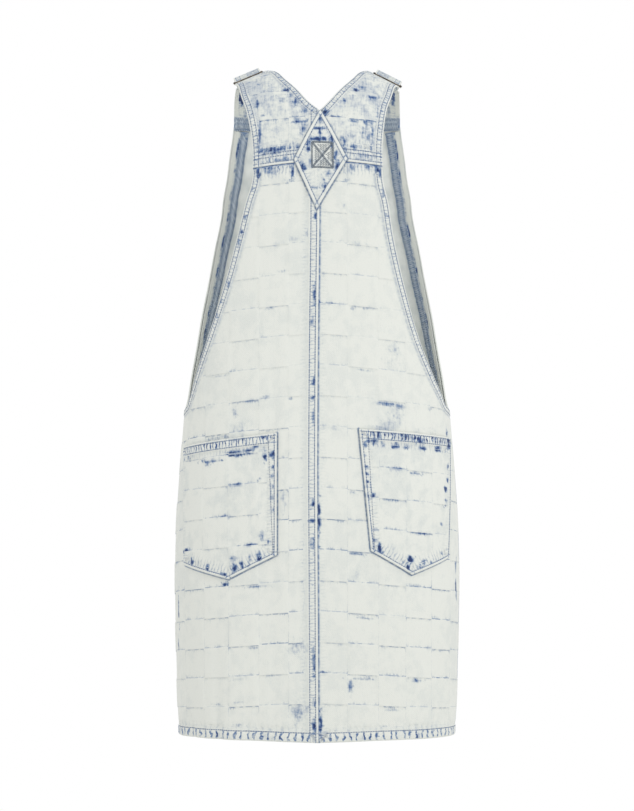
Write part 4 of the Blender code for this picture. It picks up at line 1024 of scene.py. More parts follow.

# How the marks on the cloth turn into the share of indigo that is left, with painted shade added in creases,
# needle holes, under lapping edges and beside patches, one node to a line. A word is an earlier result or a mark
# that the cloth carries.
BLEACH = (
    # result, node, way, what goes in
    ("clouds", "Math", "ADD", ("cloud", "patchy")),
    ("mottled", "MapRange", "SMOOTHSTEP", ("clouds", 0.86, 1.26, 0.0, 1.0)),
    ("tint", "Math", "MULTIPLY_ADD", ("indigo", 0.55, 0.045)),
    ("faint", "Math", "MULTIPLY", ("mottled", "tint")),
    # The indigo that is left has ragged edges, which follow the upright threads.
    ("grainy", "Math", "ADD", ("combed", "broken")),
    ("rough", "Math", "SUBTRACT", ("grainy", 1.0)),
    ("reach", "Math", "MULTIPLY_ADD", ("indigo", 0.95, 0.16)),
    ("ragged", "Math", "MULTIPLY_ADD", ("rough", "reach", "indigo")),
    ("patches", "MapRange", "SMOOTHSTEP", ("ragged", 0.10, 1.06, 0.0, 1.0)),
    # A raised block's edge stays clean, so a patch stops at it.
    ("onto", "MapRange", "SMOOTHSTEP", ("ledge", -0.1, 0.5, 1.0, 0.12)),
    ("beyond", "MapRange", "SMOOTHSTEP", ("ledge", 3.0, 7.0, 0.0, 1.0)),
    ("clean", "Math", "MAXIMUM", ("onto", "beyond")),
    ("left", "Math", "MULTIPLY", ("patches", "clean")),
    # Just off a raised block the bleach reached less; in the crease at each block's foot a dashed line of
    # painted shade is laid over the indigo held there.
    ("depth", "MapRange", "SMOOTHSTEP", ("combed", 0.35, 0.65, 1.4, 5.5)),
    ("off", "Math", "DIVIDE", ("ledge", "depth")),
    ("fringe", "MapRange", "SMOOTHSTEP", ("off", -1.0, -0.05, 0.0, 1.0)),
    ("below", "MapRange", "SMOOTHSTEP", ("ledge", -0.3, 0.4, 1.0, 0.0)),
    ("fringe", "Math", "MULTIPLY", ("fringe", "below")),
    ("some", "MapRange", "SMOOTHSTEP", ("patchy", 0.42, 0.62, 0.05, 0.44)),
    ("fringe", "Math", "MULTIPLY", ("fringe", "some")),
    ("grip", "Math", "MULTIPLY_ADD", ("indigo", 0.45, "hold")),
    ("fringe", "Math", "MULTIPLY", ("fringe", "grip")),
    # Painted shade: a dashed dark line in the crease at the foot of each raised block, with the indigo held
    # there.
    ("foot_blue_and_shade", "Math", "ADD", ("ledge", 0.35)),
    ("foot_blue_and_shade", "Math", "MULTIPLY", ("foot_blue_and_shade", "foot_blue_and_shade")),
    ("foot_blue_and_shade", "MapRange", "SMOOTHSTEP", ("foot_blue_and_shade", 0.04, 0.8, 1.0, 0.0)),
    ("dashes", "MapRange", "SMOOTHSTEP", ("broken", 0.42, 0.58, 0.10, 0.60)),
    ("foot_blue_and_shade", "Math", "MULTIPLY", ("foot_blue_and_shade", "dashes")),
    ("foot_blue_and_shade", "Math", "MULTIPLY", ("foot_blue_and_shade", "grip")),
    # Thread draws a seam into rungs, with indigo left between them.
    ("swing", "Math", "MULTIPLY", ("drawn", 7.0)),
    ("turn", "Math", "MULTIPLY_ADD", ("run", 2 * math.pi / RUNG_PITCH, "swing")),
    ("wave", "Math", "SINE", ("turn",)),
    ("rung", "MapRange", "SMOOTHSTEP", ("wave", 0.15, 0.85, 0.0, 1.0)),
    ("much", "MapRange", "SMOOTHSTEP", ("broken", 0.36, 0.60, 0.45, 1.0)),
    ("bluer", "MapRange", "SMOOTHSTEP", ("indigo", 0.0, 0.7, 0.46, 1.0)),
    ("rungs", "Math", "MULTIPLY", ("rung", "much")),
    ("rungs", "Math", "MULTIPLY", ("rungs", "bluer")),
    ("rungs", "Math", "MULTIPLY", ("rungs", "streak")),
    # Painted shade: needle rows are darkest where each stitch goes down into the cloth, a line along a lapped
    # seam is partly shade under the lapping edge, and patches have a painted line of shade beside their edges.
    ("needle_hole_shade", "Math", "MULTIPLY", ("thread", 2 * math.pi / STITCH_PITCH)),
    ("needle_hole_shade", "Math", "SINE", ("needle_hole_shade",)),
    ("needle_hole_shade", "MapRange", "SMOOTHSTEP", ("needle_hole_shade", -0.6, 0.8, 0.42, 1.0)),
    ("uneven", "MapRange", "SMOOTHSTEP", ("broken", 0.34, 0.62, 0.70, 1.05)),
    ("row", "MapRange", "SMOOTHSTEP", ("needle", 0.3, 1.0, 0.72, 0.0)),
    ("row", "Math", "MULTIPLY", ("row", "needle_hole_shade")),
    ("row", "Math", "MULTIPLY", ("row", "uneven")),
    ("solid", "MapRange", "SMOOTHSTEP", ("broken", 0.34, 0.62, 0.60, 1.0)),
    ("seam", "Math", "MULTIPLY", ("line", "solid")),
    # Painted shade: a line of shade on the cloth just beside the sewn edges of patches.
    ("beside", "MapRange", "SMOOTHSTEP", ("patch", 0.9, 2.8, 0.52, 0.0)),
    ("beside", "Math", "MULTIPLY", ("beside", "uneven")),
    ("blue", "Math", "MAXIMUM", ("left", "fringe")),
    ("blue", "Math", "MAXIMUM", ("blue", "foot_blue_and_shade")),
    ("blue", "Math", "MAXIMUM", ("blue", "rungs")),
    ("blue", "Math", "ADD", ("blue", "faint")),
    ("worn", "MapRange", "SMOOTHSTEP", ("pale", 0.0, 1.0, 1.0, 0.10)),
    ("blue", "Math", "MULTIPLY", ("blue", "worn")),
    ("blue", "Math", "MAXIMUM", ("blue", "seam")),
    ("blue", "Math", "MAXIMUM", ("blue", "row")),
    ("blue", "Math", "MAXIMUM", ("blue", "beside")),
    ("salt", "Math", "MULTIPLY_ADD", ("speck", 0.22, -0.11)),
    ("where", "MapRange", "SMOOTHSTEP", ("blue", 0.0, 0.5, 0.55, 1.0)),
    ("blue", "Math", "MULTIPLY_ADD", ("salt", "where", "blue")),
    ("relief", "Math", "MULTIPLY_ADD", ("twill", 0.35, "speck")),
    ("relief", "Math", "MULTIPLY_ADD", ("combed", 0.5, "relief")),
    ("ribbed", "Math", "MULTIPLY", ("wave", "streak")),
    ("relief", "Math", "MULTIPLY_ADD", ("ribbed", -0.5, "relief")),
)
DYE = (
    # share of indigo left, with painted shade added, colour
    (0.00, "#D9DBD5"),
    (0.12, "#CED2CE"),
    (0.27, "#B5BCC2"),
    (0.42, "#95A1B0"),
    (0.58, "#7186A4"),
    (0.74, "#4F6890"),
    (0.88, "#314D80"),
    (1.00, "#1C3260"),
)


def bleached_denim():
    """Indigo cotton denim, stone-washed and bleached nearly white: blue stays in hollows and at seams, and
    painted shade darkens ledge creases, needle holes, lapped edges and the cloth beside patches.
    """
    finish, tree, shader = new_finish("bleached_cotton_denim", "#E4E7E0", 0.88)
    shader.inputs["Sheen Weight"].default_value = 0.12
    made = {
        key: add(tree, "Attribute", attribute_name=key).outputs["Fac"]
        for key in ("streak", "line", "pale", "needle", "ledge", "hold", "patch", "indigo")
    }
    keys = ("cloth", "band")
    places = {key: add(tree, "Attribute", attribute_name=key).outputs["Vector"] for key in keys}
    apart = add(tree, "SeparateXYZ", {0: places["band"]}).outputs
    made["run"], made["thread"] = apart[0], apart[2]
    for key, place, across, up, detail in GRAIN:
        sockets = {0: places[place], 1: (1 / (across * MM), 1 / (up * MM), 1)}
        scaled = add(tree, "VectorMath", sockets, operation="MULTIPLY").outputs[0]
        sockets = {"Vector": scaled, "Scale": 1, "Detail": detail}
        made[key] = add(tree, "TexNoise", sockets, noise_dimensions="2D").outputs["Fac"]
    scaled = add(tree, "VectorMath", {0: places["cloth"], "Scale": 1 / MM}, operation="SCALE").outputs[0]
    sockets = {"Vector": scaled, "Scale": TWILL_SCALE, "Distortion": 1.2, "Detail": 1.0}
    made["twill"] = add(tree, "TexWave", sockets, bands_direction="DIAGONAL").outputs["Fac"]
    setting = {"Math": "operation", "MapRange": "interpolation_type"}
    for result, kind, way, inputs in BLEACH:
        sockets = {k: made.get(value, value) for k, value in enumerate(inputs)}
        made[result] = add(tree, kind, sockets, **{setting[kind]: way}).outputs[0]
    dye = add(tree, "ValToRGB", {"Fac": made["blue"]})
    set_colours(dye, DYE)
    tree.links.new(dye.outputs["Color"], shader.inputs["Base Color"])
    bump = add(tree, "Bump", {"Height": made["relief"], "Strength": 0.55, "Distance": 0.35 * MM})
    tree.links.new(bump.outputs[0], shader.inputs["Normal"])
    return finish


def denim_inside():
    """The undyed weft side of the denim: plain light grey, painted paler than its own grey to make up for the
    shade inside the dress, with the twill showing as fine slanted lines.
    """
    finish, tree, shader = new_finish("denim_weft_side", "#E2E5E1", 0.92)
    cloth = add(tree, "Attribute", attribute_name="cloth").outputs["Vector"]
    scaled = add(tree, "VectorMath", {0: cloth, "Scale": 1 / MM}, operation="SCALE")
    sockets = {"Vector": scaled.outputs[0], "Scale": TWILL_SCALE, "Distortion": 1.0}
    twill = add(tree, "TexWave", sockets, bands_direction="DIAGONAL")
    sockets = {"Vector": scaled.outputs[0], "Scale": 0.05, "Detail": 4.0}
    patchy = add(tree, "TexNoise", sockets, noise_dimensions="2D")
    sockets = {0: twill.outputs["Fac"], 1: 0.25, 2: patchy.outputs["Fac"]}
    mixed = add(tree, "Math", sockets, operation="MULTIPLY_ADD")
    tone = add(tree, "ValToRGB", {"Fac": mixed.outputs[0]})
    # Painted light: these greys are paler than the weft side's own, to make up for the shade inside the dress.
    set_colours(tone, ((0.25, "#CDD3D2"), (0.85, "#ECEEEA")))
    tree.links.new(tone.outputs["Color"], shader.inputs["Base Color"])
    bump = add(tree, "Bump", {"Height": twill.outputs["Fac"], "Strength": 0.5, "Distance": 0.2 * MM})
    tree.links.new(bump.outputs[0], shader.inputs["Normal"])
    return finish


def spun_thread(name, pale, dark):
    """Spun thread: painted shade darkens a stitch where it sinks into the cloth, and each stitch has a tone of
    its own.
    """
    finish, tree, shader = new_finish(name, pale, 0.75)
    sunk_shade = add(tree, "Attribute", attribute_name="sunk_shade").outputs["Fac"]
    luck = add(tree, "Attribute", attribute_name="luck").outputs["Fac"]
    mixed = add(tree, "Math", {0: luck, 1: 0.45, 2: sunk_shade}, operation="MULTIPLY_ADD")
    tone = add(tree, "ValToRGB", {"Fac": mixed.outputs[0]})
    set_colours(tone, ((0.0, pale), (1.0, dark)))
    tree.links.new(tone.outputs["Color"], shader.inputs["Base Color"])
    return finish


def antiqued_wire():
    """Steel wire with a dark antique plating: satin, brown in the hollows and brighter where rubbed."""
    finish, tree, shader = new_finish("antiqued_steel_wire", "#5B544C", 0.42, 1.0)
    place = add(tree, "TexCoord").outputs["Object"]
    rubbed = add(tree, "TexNoise", {"Vector": place, "Scale": 260.0, "Detail": 3.0})
    tone = add(tree, "ValToRGB", {"Fac": rubbed.outputs["Fac"]})
    set_colours(tone, ((0.42, "#3A3128"), (0.68, "#8A8074")))
    tree.links.new(tone.outputs["Color"], shader.inputs["Base Color"])
    rough = add(tree, "MapRange", {"Value": rubbed.outputs["Fac"], "To Min": 0.6, "To Max": 0.28})
    tree.links.new(rough.outputs[0], shader.inputs["Roughness"])
    return finish


DENIM = bleached_denim()
INSIDE = denim_inside()
# Each thread's dark colour is reached through the painted shade where a stitch sinks in, and partly through each
# stitch's own tone.
TOPSTITCH = spun_thread("faded_cotton_topstitch", "#A3AEBD", "#2E4069")
OVERLOCK = spun_thread("grey_polyester_overlock", "#CFD8E0", "#7D90A8")
BLOCK_THREAD = spun_thread("grey_polyester_block", "#8A949D", "#3F4D60")
WIRE_METAL = antiqued_wire()


# ---------------------------------------------------------------- thread

STATIONS = np.array([0.0, 0.18, 0.5, 0.82, 1.0])
ARCH = np.array([-0.7, 0.5, 0.9, 0.5, -0.7])
TAPER = np.array([0.6, 1.0, 1.0, 1.0, 0.6])
# Painted shade along each stitch: darkest at its two ends, where it sinks into the cloth.
SUNK_SHADE = np.array([1.0, 0.5, 0.0, 0.5, 1.0])
THREAD_SIDES = 5


def threads(name, side, ends, lift, radius, finish, face=1):
    """Short lengths of thread lying on a face of the cloth, each sinking in at both ends, as one mesh."""
    ends, lift = np.asarray(ends), np.asarray(lift)
    flat = ends[:, :1] + (ends[:, 1:] - ends[:, :1]) * STATIONS[None, :, None]
    high = (lift[:, None] + face * ARCH * radius).ravel()
    here = worn(side, flat.reshape(-1, 2), high)
    out = (worn(side, flat.reshape(-1, 2), high + MM) - here) / MM
    shape = (len(ends), len(STATIONS), 3)
    along = np.gradient(here.reshape(shape), axis=1).reshape(-1, 3)
    across = np.cross(along, out)
    across /= np.linalg.norm(across, axis=1)[:, None]
    turn = 2 * math.pi * np.arange(THREAD_SIDES) / THREAD_SIDES
    thick = np.tile(TAPER * radius, len(ends))[:, None, None]
    points = here[:, None] + thick * (
        np.cos(turn)[None, :, None] * across[:, None] + np.sin(turn)[None, :, None] * out[:, None]
    )
    one, n = [], THREAD_SIDES
    for k in range(len(STATIONS) - 1):
        a, b = k * n, (k + 1) * n
        one += [[a + j, b + j, b + (j + 1) % n, a + (j + 1) % n] for j in range(n)]
    one += [list(range(n)), [(len(STATIONS) - 1) * n + j for j in range(n)][::-1]]
    each = len(STATIONS) * n
    faces = [[k * each + j for j in face] for k in range(len(ends)) for face in one]
    made = body(name, points.reshape(-1, 3), faces, [finish], smooth=80)
    note(made, "sunk_shade", np.tile(np.repeat(SUNK_SHADE, n), len(ends)))
    chance = np.random.default_rng(len(ends)).random(len(ends))
    note(made, "luck", np.repeat(chance, each))
    return made


def topstitch(name, side, piece, outer):
    """The rows of stitches along a piece's finished edges."""
    ends, lift = [], []
    closed = np.vstack([piece["outline"], piece["outline"][:1]])
    for line, finish in piece["runs"]:
        table = np.array(finish).T
        for taper in STITCH_ROWS.get(finish, ()):
            row = rounded(beside(line, inwards_at(line, line, taper)[:, None] * MM), STITCH_PITCH)
            middle = 0.5 * (row[1:] + row[:-1])
            inwards = inwards_at(middle, line, taper)
            kept = within(middle, piece["outline"]) & (follow(middle, closed)[0] > OWN_EDGE * inwards * MM)
            start = row[:-1][kept]
            run = (row[1:][kept] - start) * STITCH_LENGTH / STITCH_PITCH
            ends.append(np.stack([start, start + run], axis=1))
            lift.append(np.interp(inwards[kept], table[0], table[1]) * MM)
    lift = CLOTH_HALF + outer + np.concatenate(lift)
    return threads(name, side, np.vstack(ends), lift, STITCH_RADIUS, TOPSTITCH)


def overlock(name, side, line, lift, rows=OVERLOCK_ROWS):
    """Overlock thread over a raw edge, on the inner face: a zigzag with a row of thread along each side."""
    low, high = (rounded(beside(line, inwards * MM), OVERLOCK_PITCH / 2) for inwards in rows)
    count = min(len(low), len(high)) // 2
    low, high = low[: 2 * count : 2], high[1 : 2 * count : 2]
    uneven = np.random.default_rng(count)
    low, high = (row + OVERLOCK_UNEVEN * uneven.uniform(-0.5, 0.5, row.shape) for row in (low, high))
    ends = [np.stack([low, high], axis=1), np.stack([high[:-1], low[1:]], axis=1)]
    ends += [np.stack([row[:-1], row[:-1] + OVERLOCK_RUN * (row[1:] - row[:-1])], axis=1) for row in (low, high)]
    ends = np.vstack(ends)
    lift = np.full(len(ends), lift)
    return threads(name, side, ends, lift, OVERLOCK_RADIUS, OVERLOCK, -1)


def boxed_cross(name, lift):
    """The stitched block on the diamond: a plain satin-stitched box with a cross and filling stitches."""
    centre = np.array(flat_point(BACK, BLOCK_CENTRE[0] * MM, BLOCK_CENTRE[1] * MM))
    half = np.array(BLOCK_HALF) * MM
    corners = [centre + half * np.array(c) for c in ((-1, -1), (1, -1), (1, 1), (-1, 1))]
    bars = list(zip(corners, corners[1:] + corners[:1]))
    bars += [(corners[0], corners[2]), (corners[1], corners[3])]
    ends = []
    for a, b in bars:
        run = (b - a) / np.linalg.norm(b - a)
        across = 0.5 * SATIN_WIDTH * np.array([-run[1], run[0]])
        places = np.arange(0, np.linalg.norm(b - a), SATIN_PITCH)[:, None]
        here = a + places * run
        ends.append(np.stack([here - across, here + across + 0.5 * SATIN_PITCH * run], axis=1))
    fill = []
    for k, y in enumerate(np.arange(-half[1], half[1], FILL_PITCH)):
        for x in np.arange(-half[0] + (k % 2) * MM, half[0], STITCH_PITCH):
            off_cross = abs(abs(x / half[0]) - abs(y / half[1]))
            if off_cross > CROSS_CLEAR and abs(x) < half[0] - BOX_CLEAR and abs(y) < half[1] - BOX_CLEAR:
                fill.append(centre + np.array([[x, y], [x + FILL_LENGTH, y]]))
    ends = np.vstack(ends + [np.array(fill)])
    lift = np.full(len(ends), lift)
    return threads(name, BACK, ends, lift, STITCH_RADIUS, BLOCK_THREAD)


# ---------------------------------------------------------------- the pieces


def centre_seam(sign, top, bottom):
    """The centre back seam from a height down to another, on one side of its slit."""
    heights = np.linspace(top, bottom, CENTRE_POINTS)
    return [(fair(q, CENTRE_LINE, 1) + sign * SEAM_SLIT, q) for q in heights]


def strap_edges(sign):
    """Where the outer and the inner edge of a strap cross the shoulder."""
    return [sign * (x + STRAP_SHIFT[sign]) for x in (STRAP_OUTER, STRAP_INNER)]


def back_panel(name, sign):
    """Half of the back, from the hem up to the yoke."""
    seam = side_seam(BACK, sign)
    column = 1 if sign == LEFT else 2
    armhole = [seam[-1]] + edge(BACK, BACK_ARMHOLE, column, sign)
    end = edge(BACK, YOKE_SEAM_END, column, sign)[0]
    centre = centre_seam(sign, YOKE_SEAM - SEAM_SLIT - SEAM_DROP[sign][0], HEM)
    corner = (end[0], YOKE_SEAM - SEAM_SLIT - SEAM_DROP[sign][1])
    runs = [
        (rounded(hem_line(BACK, centre[-1][0], seam[0][0])), HEM_EDGE),
        (rounded(seam), SIDE_SEAM),
        (rounded(armhole + [corner]), TURNED_EDGE),
        (rounded([corner, centre[0]]), UNDER_YOKE),
        (rounded(centre), CENTRE_LAP if sign == LEFT else CENTRE_UNDER),
    ]
    runs[0][0][0] = centre[-1]
    piece = cut(runs, "back", start=ROW_SHIFT[sign])
    made = shell(name + "_cloth", BACK, piece, 0, -CLOTH_HALF, [DENIM, INSIDE])
    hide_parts(name)
    sewn = topstitch(name + "_stitches", BACK, piece, 0)


def front_panel():
    """The front with its bib, in one piece."""
    sides = {sign: side_seam(FRONT, sign) for sign in (LEFT, RIGHT)}
    holes = {sign: rounded([sides[sign][-1]] + edge(FRONT, FRONT_ARMHOLE, 1, sign)) for sign in sides}
    neck = {sign: edge(FRONT, BIB_NECK, 1, sign)[::-1] for sign in sides}
    tops = {sign: rounded([holes[sign][-1], neck[sign][0]]) for sign in sides}
    runs = [
        (rounded(hem_line(FRONT, sides[LEFT][0][0], sides[RIGHT][0][0])), HEM_EDGE),
        (rounded(sides[RIGHT]), SIDE_SEAM),
        (holes[RIGHT], TURNED_EDGE),
        (tops[RIGHT], TURNED_EDGE),
        (rounded(neck[RIGHT] + neck[LEFT][::-1]), TURNED_EDGE),
        (tops[LEFT][::-1], TURNED_EDGE),
        (holes[LEFT][::-1], TURNED_EDGE),
        (rounded(sides[LEFT])[::-1], SIDE_SEAM),
    ]
    piece = cut(runs, "front", centre=0.0, spacing=FRONT_STEP)
    made = shell("front_panel_cloth", FRONT, piece, 0, -CLOTH_HALF, [DENIM, INSIDE])
    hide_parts("front_panel")
    sewn = topstitch("front_panel_stitches", FRONT, piece, 0)


def back_yoke(name, sign):
    """Half of the yoke, up to the end of its strap."""
    column = 1 if sign == LEFT else 2
    low = edge(BACK, YOKE_SEAM_END, column, sign)[0]
    top = flat_point(BACK, 0, NECK[0][0] * MM)[1]
    centre = centre_seam(sign, top, YOKE_SEAM - SEAM_DROP[sign][0])
    corner = (low[0], YOKE_SEAM - SEAM_DROP[sign][1])
    armhole = [corner] + edge(BACK, YOKE_ARMHOLE, column, sign)
    neck = [flat_point(BACK, CENTRE_BACK + sign * out * MM, height * MM) for height, out in NECK[1:]]
    neck = centre[:1] + neck
    end = [over_shoulder(BACK, x, YOKE_END) for x in strap_edges(sign)]
    runs = [
        (rounded([centre[-1], corner]), YOKE_LAP),
        (rounded(armhole + end[:1]), TURNED_EDGE),
        (rounded(end), PLAIN_EDGE),
        (rounded(end[1:] + neck[::-1]), TURNED_EDGE),
        (rounded(centre), CENTRE_LAP if sign == LEFT else CENTRE_UNDER),
    ]
    piece = cut(runs, "yoke", start=ROW_SHIFT[sign])
    made = shell(name + "_cloth", BACK, piece, 0, -CLOTH_HALF, [DENIM, INSIDE])
    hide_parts(name)
    sewn = topstitch(name + "_stitches", BACK, piece, 0)


def pocket(name):
    """A pointed patch pocket."""
    corners = {corner: flat_point(BACK, x * MM, height * MM) for corner, x, height in POCKETS[name]}
    order = [row[0] for row in POCKETS[name]]
    outer_side = POCKET_HIDDEN if name == "pocket_left" else POCKET_SIDE
    finishes = [POCKET_MOUTH, outer_side, POCKET_BOTTOM, POCKET_BOTTOM, POCKET_INNER]
    runs = [
        (rounded([corners[a], corners[b]]), finish)
        for a, b, finish in zip(order, order[1:] + order[:1], finishes)
    ]
    piece = cut(runs, name, start=POCKET_ROW_START[name])
    outer = LAID_ON + PATCH_CLOTH - CLOTH_HALF
    made = shell(name + "_cloth", BACK, piece, outer, LAID_ON, [DENIM])
    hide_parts(name)
    sewn = topstitch(name + "_stitches", BACK, piece, outer)


def diamond_patch():
    """The crosspatch over the meeting of the yoke and the back."""
    points = [flat_point(BACK, x * MM, height * MM) for x, height in DIAMOND]
    runs = [(rounded([a, b]), DIAMOND_EDGE) for a, b in zip(points, points[1:] + points[:1])]
    piece = cut(runs, "diamond", woven=0.0)
    outer = PATCH_LAID_ON + PATCH_CLOTH - CLOTH_HALF
    made = shell("diamond_cloth", BACK, piece, outer, PATCH_LAID_ON, [DENIM])
    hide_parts("diamond_patch")
    sewn = [topstitch("diamond_stitches", BACK, piece, outer)]
    sewn.append(boxed_cross("diamond_block", CLOTH_HALF + outer))


def front_strap(name, sign):
    """A front strap, from the inside of the bib up to its loop."""
    low = [flat_point(FRONT, sign * x, STRAP_SEAM) for x in (STRAP_INNER, FRONT_STRAP_EDGE[0][1] * MM)]
    top = [over_shoulder(FRONT, x, STRAP_END) for x in strap_edges(sign)]
    runs = [
        (rounded(low), STRAP_RAW_EDGE),
        (rounded(edge(FRONT, FRONT_STRAP_EDGE, 1, sign) + [top[0]]), FACING_EDGE),
        (rounded(top), PLAIN_EDGE),
        (rounded([top[1], low[0]]), FACING_EDGE),
    ]
    piece = cut(runs, "strap", woven=0.0)
    piece["lift"] *= 0
    made = shell(name + "_cloth", FRONT, piece, FACING_OUT, FACING_OUT - STRAP_CLOTH, [DENIM])
    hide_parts(name)
    low = rounded(low) if sign == RIGHT else rounded(low)[::-1]
    sewn = [
        overlock(name + "_overlock_" + str(k), FRONT, low, FACING_OUT - STRAP_CLOTH, rows)
        for k, rows in enumerate((OVERLOCK_ROWS, SECOND_OVERLOCK_ROWS))
    ]


def armhole_facing(name, sign):
    """The facing inside a front armhole, with its overlocked raw edge."""
    seam = side_seam(FRONT, sign)
    table = [row for row in sorted(FRONT_ARMHOLE) if row[0] < FACING_TOP[0]] + [FACING_TOP]
    hole = rounded([seam[-1]] + edge(FRONT, table, 1, sign))
    near, far = beside(hole, sign * FACING_INSET), beside(hole, sign * (FACING_INSET + FACING_WIDTH))
    far = rounded(far[::RAW_EDGE_SKIP])
    runs = [
        (near, FACING_EDGE),
        (rounded([near[-1], far[-1]]), PLAIN_EDGE),
        (far[::-1], RAW_EDGE),
        (rounded([far[0], near[0]]), PLAIN_EDGE),
    ]
    piece = cut(runs, "facing", woven=0.0)
    piece["lift"] *= 0
    away, along = follow(piece["flat"], near)
    for place, half_length, amount in FACING_BLUE[sign]:
        off = np.hypot((along / MM - place) / half_length, (away / MM - FACING_BLUE_AT) / FACING_BLUE_HALF)
        blue = piece["fields"]["indigo"]
        piece["fields"]["indigo"] = np.maximum(blue, amount * np.exp(-(off**SPOT_FALL)))
    made = shell(name + "_cloth", FRONT, piece, FACING_OUT, FACING_OUT - FACING_CLOTH, [DENIM])
    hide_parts(name)
    raw = far if sign == LEFT else far[::-1]
    sewn = overlock(name + "_overlock", FRONT, raw, FACING_OUT - FACING_CLOTH)


# ---------------------------------------------------------------- strap slides


def shoulder_frame(sign):
    """A point of the shoulder line, and directions along it, to the front and off the cloth."""
    middle = SLIDE_MIDDLE + STRAP_SHIFT[sign]
    drop = SHOULDER_SLOPE[sign] * (middle - SHOULDER_NECK)
    origin = Vector((sign * middle, 0, -drop))
    out = Vector((sign, 0, -SHOULDER_SLOPE[sign])).normalized()
    fore = Vector((0, 1, 0))
    return origin, out, fore, out.cross(fore) * sign


def tube(path, radius, closed):
    """Rings of a round wire along a path in a plane, and its faces."""
    count, sides = len(path), WIRE_SIDES
    points, faces = [], []
    for k, here in enumerate(path):
        before = path[(k - 1) % count] if closed or k else here
        after = path[(k + 1) % count] if closed or k < count - 1 else here
        run = (after - before).normalized()
        up = Vector((0, 0, 1))
        across = run.cross(up).normalized()
        for side in range(sides):
            turn = 2 * math.pi * side / sides
            points.append(here + radius * (math.cos(turn) * across + math.sin(turn) * up))
    for k in range(count if closed else count - 1):
        a, b = k * sides, ((k + 1) % count) * sides
        faces += [[a + n, b + n, b + (n + 1) % sides, a + (n + 1) % sides] for n in range(sides)]
    return points, faces


def strap_slide(name, sign):
    """A rounded rectangle of wire with a middle bar."""
    origin, out, front, up = shoulder_frame(sign)
    origin = origin + MIDDLE_BAR[0] * front + MIDDLE_BAR[1] * up
    fore = math.cos(SLIDE_TILT) * front + math.sin(SLIDE_TILT) * up
    off = math.cos(SLIDE_TILT) * up - math.sin(SLIDE_TILT) * front
    path = []
    for u, v, start in ((1, 1, 0), (-1, 1, 90), (-1, -1, 180), (1, -1, 270)):
        centre = Vector((u * (SLIDE_HALF_LENGTH - BAR_CORNERS), v * (BAR_SPACING - BAR_CORNERS), 0))
        for k in range(CORNER_STEPS + 1):
            turn = math.radians(start + 90 * k / CORNER_STEPS)
            path.append(centre + BAR_CORNERS * Vector((math.cos(turn), math.sin(turn), 0)))
    points, faces = tube(path, WIRE, True)
    bar = [Vector((u * SLIDE_HALF_LENGTH, 0, 0)) for u in (-1, 0, 1)]
    more, more_faces = tube(bar, MIDDLE_WIRE, False)
    faces += [[len(points) + k for k in face] for face in more_faces]
    points += more
    if sign < 0:
        faces = [face[::-1] for face in faces]
    places = [origin + p.x * out + p.y * fore + p.z * off for p in points]
    made = body(name + "_wire", [tuple(p) for p in places], faces, [WIRE_METAL])
    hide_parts(name)


def strap_loop(name, sign, profile):
    """A folded end of strap: a ribbon that follows a profile, seen along the bar."""
    origin, out, fore, off = shoulder_frame(sign)
    path = [Vector((0, y * MM, z * MM)) for y, z in profile]
    half = 0.5 * (STRAP_OUTER - STRAP_INNER) - LOOP_SHORT
    fine = []
    for k in range(len(path) - 1):
        before, a, b = path[max(k - 1, 0)], path[k], path[k + 1]
        after = path[min(k + 2, len(path) - 1)]
        for step in range(LOOP_STEPS):
            t = step / LOOP_STEPS
            fine.append(
                0.5 * (
                    2 * a + (b - before) * t + (2 * before - 5 * a + 4 * b - after) * t * t
                    + (3 * a - before - 3 * b + after) * t ** 3
                )
            )
    fine.append(path[-1])
    ring = [(u, 0.5) for u in LOOP_ACROSS] + [(u, -0.5) for u in LOOP_ACROSS[::-1]]
    points, faces, places = [], [], []
    for k, here in enumerate(fine):
        run = (fine[min(k + 1, len(fine) - 1)] - fine[max(k - 1, 0)]).normalized()
        over = Vector((1, 0, 0)).cross(run)
        for u, lift in ring:
            p = here + over * lift * LOOP_CLOTH
            points.append(tuple(origin + u * half * out + p.y * fore + p.z * off))
            places.append((u * half, k * MM, 0))
    count = len(ring)
    for k in range(len(fine) - 1):
        a, b = count * k, count * (k + 1)
        faces += [[a + n, a + (n + 1) % count, b + (n + 1) % count, b + n] for n in range(count)]
    last = count * (len(fine) - 1)
    faces += [list(range(count))[::-1], [last + n for n in range(count)]]
    if sign < 0:
        faces = [face[::-1] for face in faces]
    made = body(name + "_cloth", points, faces, [DENIM])
    places = np.array(places)
    inwards = (half - np.abs(places[:, 0])) / MM
    rows = np.min([np.abs(inwards - row) for row, _ in STITCH_ROWS[TURNED_EDGE]], axis=0)
    table = np.array(TURNED_EDGE).T
    for key, column_values in zip(("streak", "line", "pale"), table[2:]):
        note(made, key, np.interp(inwards, table[0], column_values))
    for key, values in (("needle", rows), ("ledge", FAR), ("patch", FAR), ("indigo", WASH["strap"])):
        note(made, key, values + 0 * inwards)
    note(made, "cloth", places)
    note(made, "band", places[:, [1, 0, 2]])
    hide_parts(name)


# ---------------------------------------------------------------- the dress

back_panel("back_left", LEFT)
back_panel("back_right", RIGHT)
front_panel()
for side_name, sign in SIDES:
    back_yoke("back_yoke_" + side_name, sign)
    front_strap("front_strap_" + side_name, sign)
    armhole_facing("armhole_facing_" + side_name, sign)
    pocket("pocket_" + side_name)
    strap_slide("strap_slide_" + side_name, sign)
    strap_loop("back_strap_end_" + side_name, sign, BACK_END)
    strap_loop("front_strap_end_" + side_name, sign, FRONT_END)
diamond_patch()


# ---------------------------------------------------------------- studio

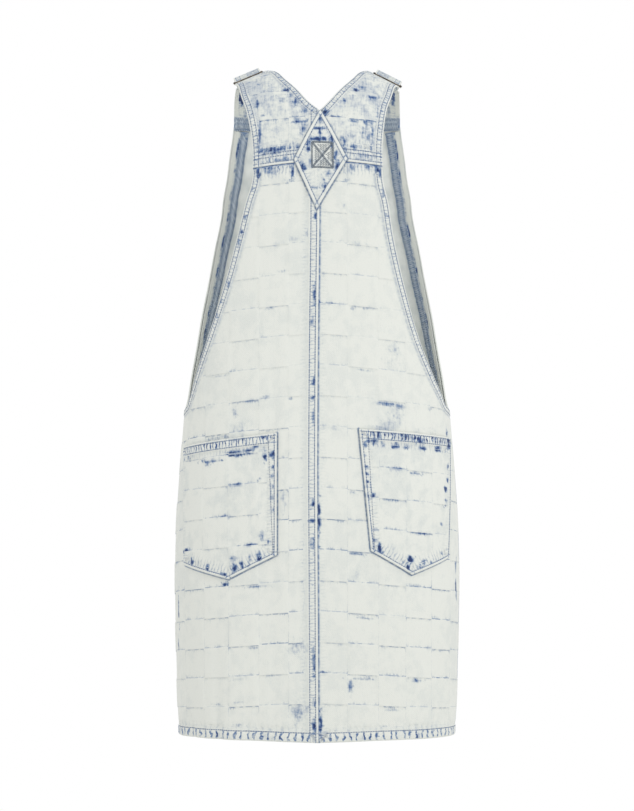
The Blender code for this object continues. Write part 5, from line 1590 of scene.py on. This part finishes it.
CAMERA_AWAY = 4.0
PHOTO_HEIGHT = 1.0543
SENSOR = 36.0
VIEW_CENTRE = -0.436
FLOOR = -1.2
FLOOR_HALF = 1.5
SOFT_BOXES = (
    # name, place, size, power
    ("key", (2.0, -2.6, 1.2), 1.4, 26),
    ("fill", (-2.2, -2.4, 0.6), 1.8, 3),
)


def camera():
    """The camera, level with the middle of the dress and straight behind it."""
    lens = bpy.data.cameras.new("camera")
    lens.sensor_width = SENSOR
    lens.lens = SENSOR * CAMERA_AWAY / PHOTO_HEIGHT
    holder = bpy.data.objects.new("camera", lens)
    holder.location = (0, -CAMERA_AWAY, VIEW_CENTRE)
    holder.rotation_euler = (math.pi / 2, 0, 0)
    bpy.context.scene.collection.objects.link(holder)
    bpy.context.scene.camera = holder


def soft_light(name, place, size, power):
    """A square soft box that faces the dress."""
    lamp = bpy.data.lights.new(name, "AREA")
    lamp.shape = "SQUARE"
    lamp.size = size
    lamp.energy = power
    holder = bpy.data.objects.new(name, lamp)
    holder.location = place
    aim = Vector((0, 0, VIEW_CENTRE)) - Vector(place)
    holder.rotation_euler = aim.to_track_quat("-Z", "Y").to_euler()
    bpy.context.scene.collection.objects.link(holder)


def studio():
    """A white room, a pale floor and soft light."""
    world = bpy.data.worlds.new("white_room")
    world.use_nodes = True
    glow = world.node_tree.nodes["Background"].inputs
    glow["Color"].default_value = (1, 1, 1, 1)
    glow["Strength"].default_value = 1.0
    bpy.context.scene.world = world
    bpy.context.scene.view_settings.view_transform = "Standard"
    corners = ((-1, -1), (1, -1), (1, 1), (-1, 1))
    points = [(u * FLOOR_HALF, v * FLOOR_HALF, FLOOR) for u, v in corners]
    mesh = bpy.data.meshes.new("floor")
    mesh.from_pydata(points, [], [[0, 1, 2, 3]])
    floor = bpy.data.objects.new("floor", mesh)
    bpy.context.scene.collection.objects.link(floor)
    mesh.materials.append(new_finish("white_paper", "#E9E9E7", 0.9)[0])
    for soft_box in SOFT_BOXES:
        soft_light(*soft_box)


camera()
studio()
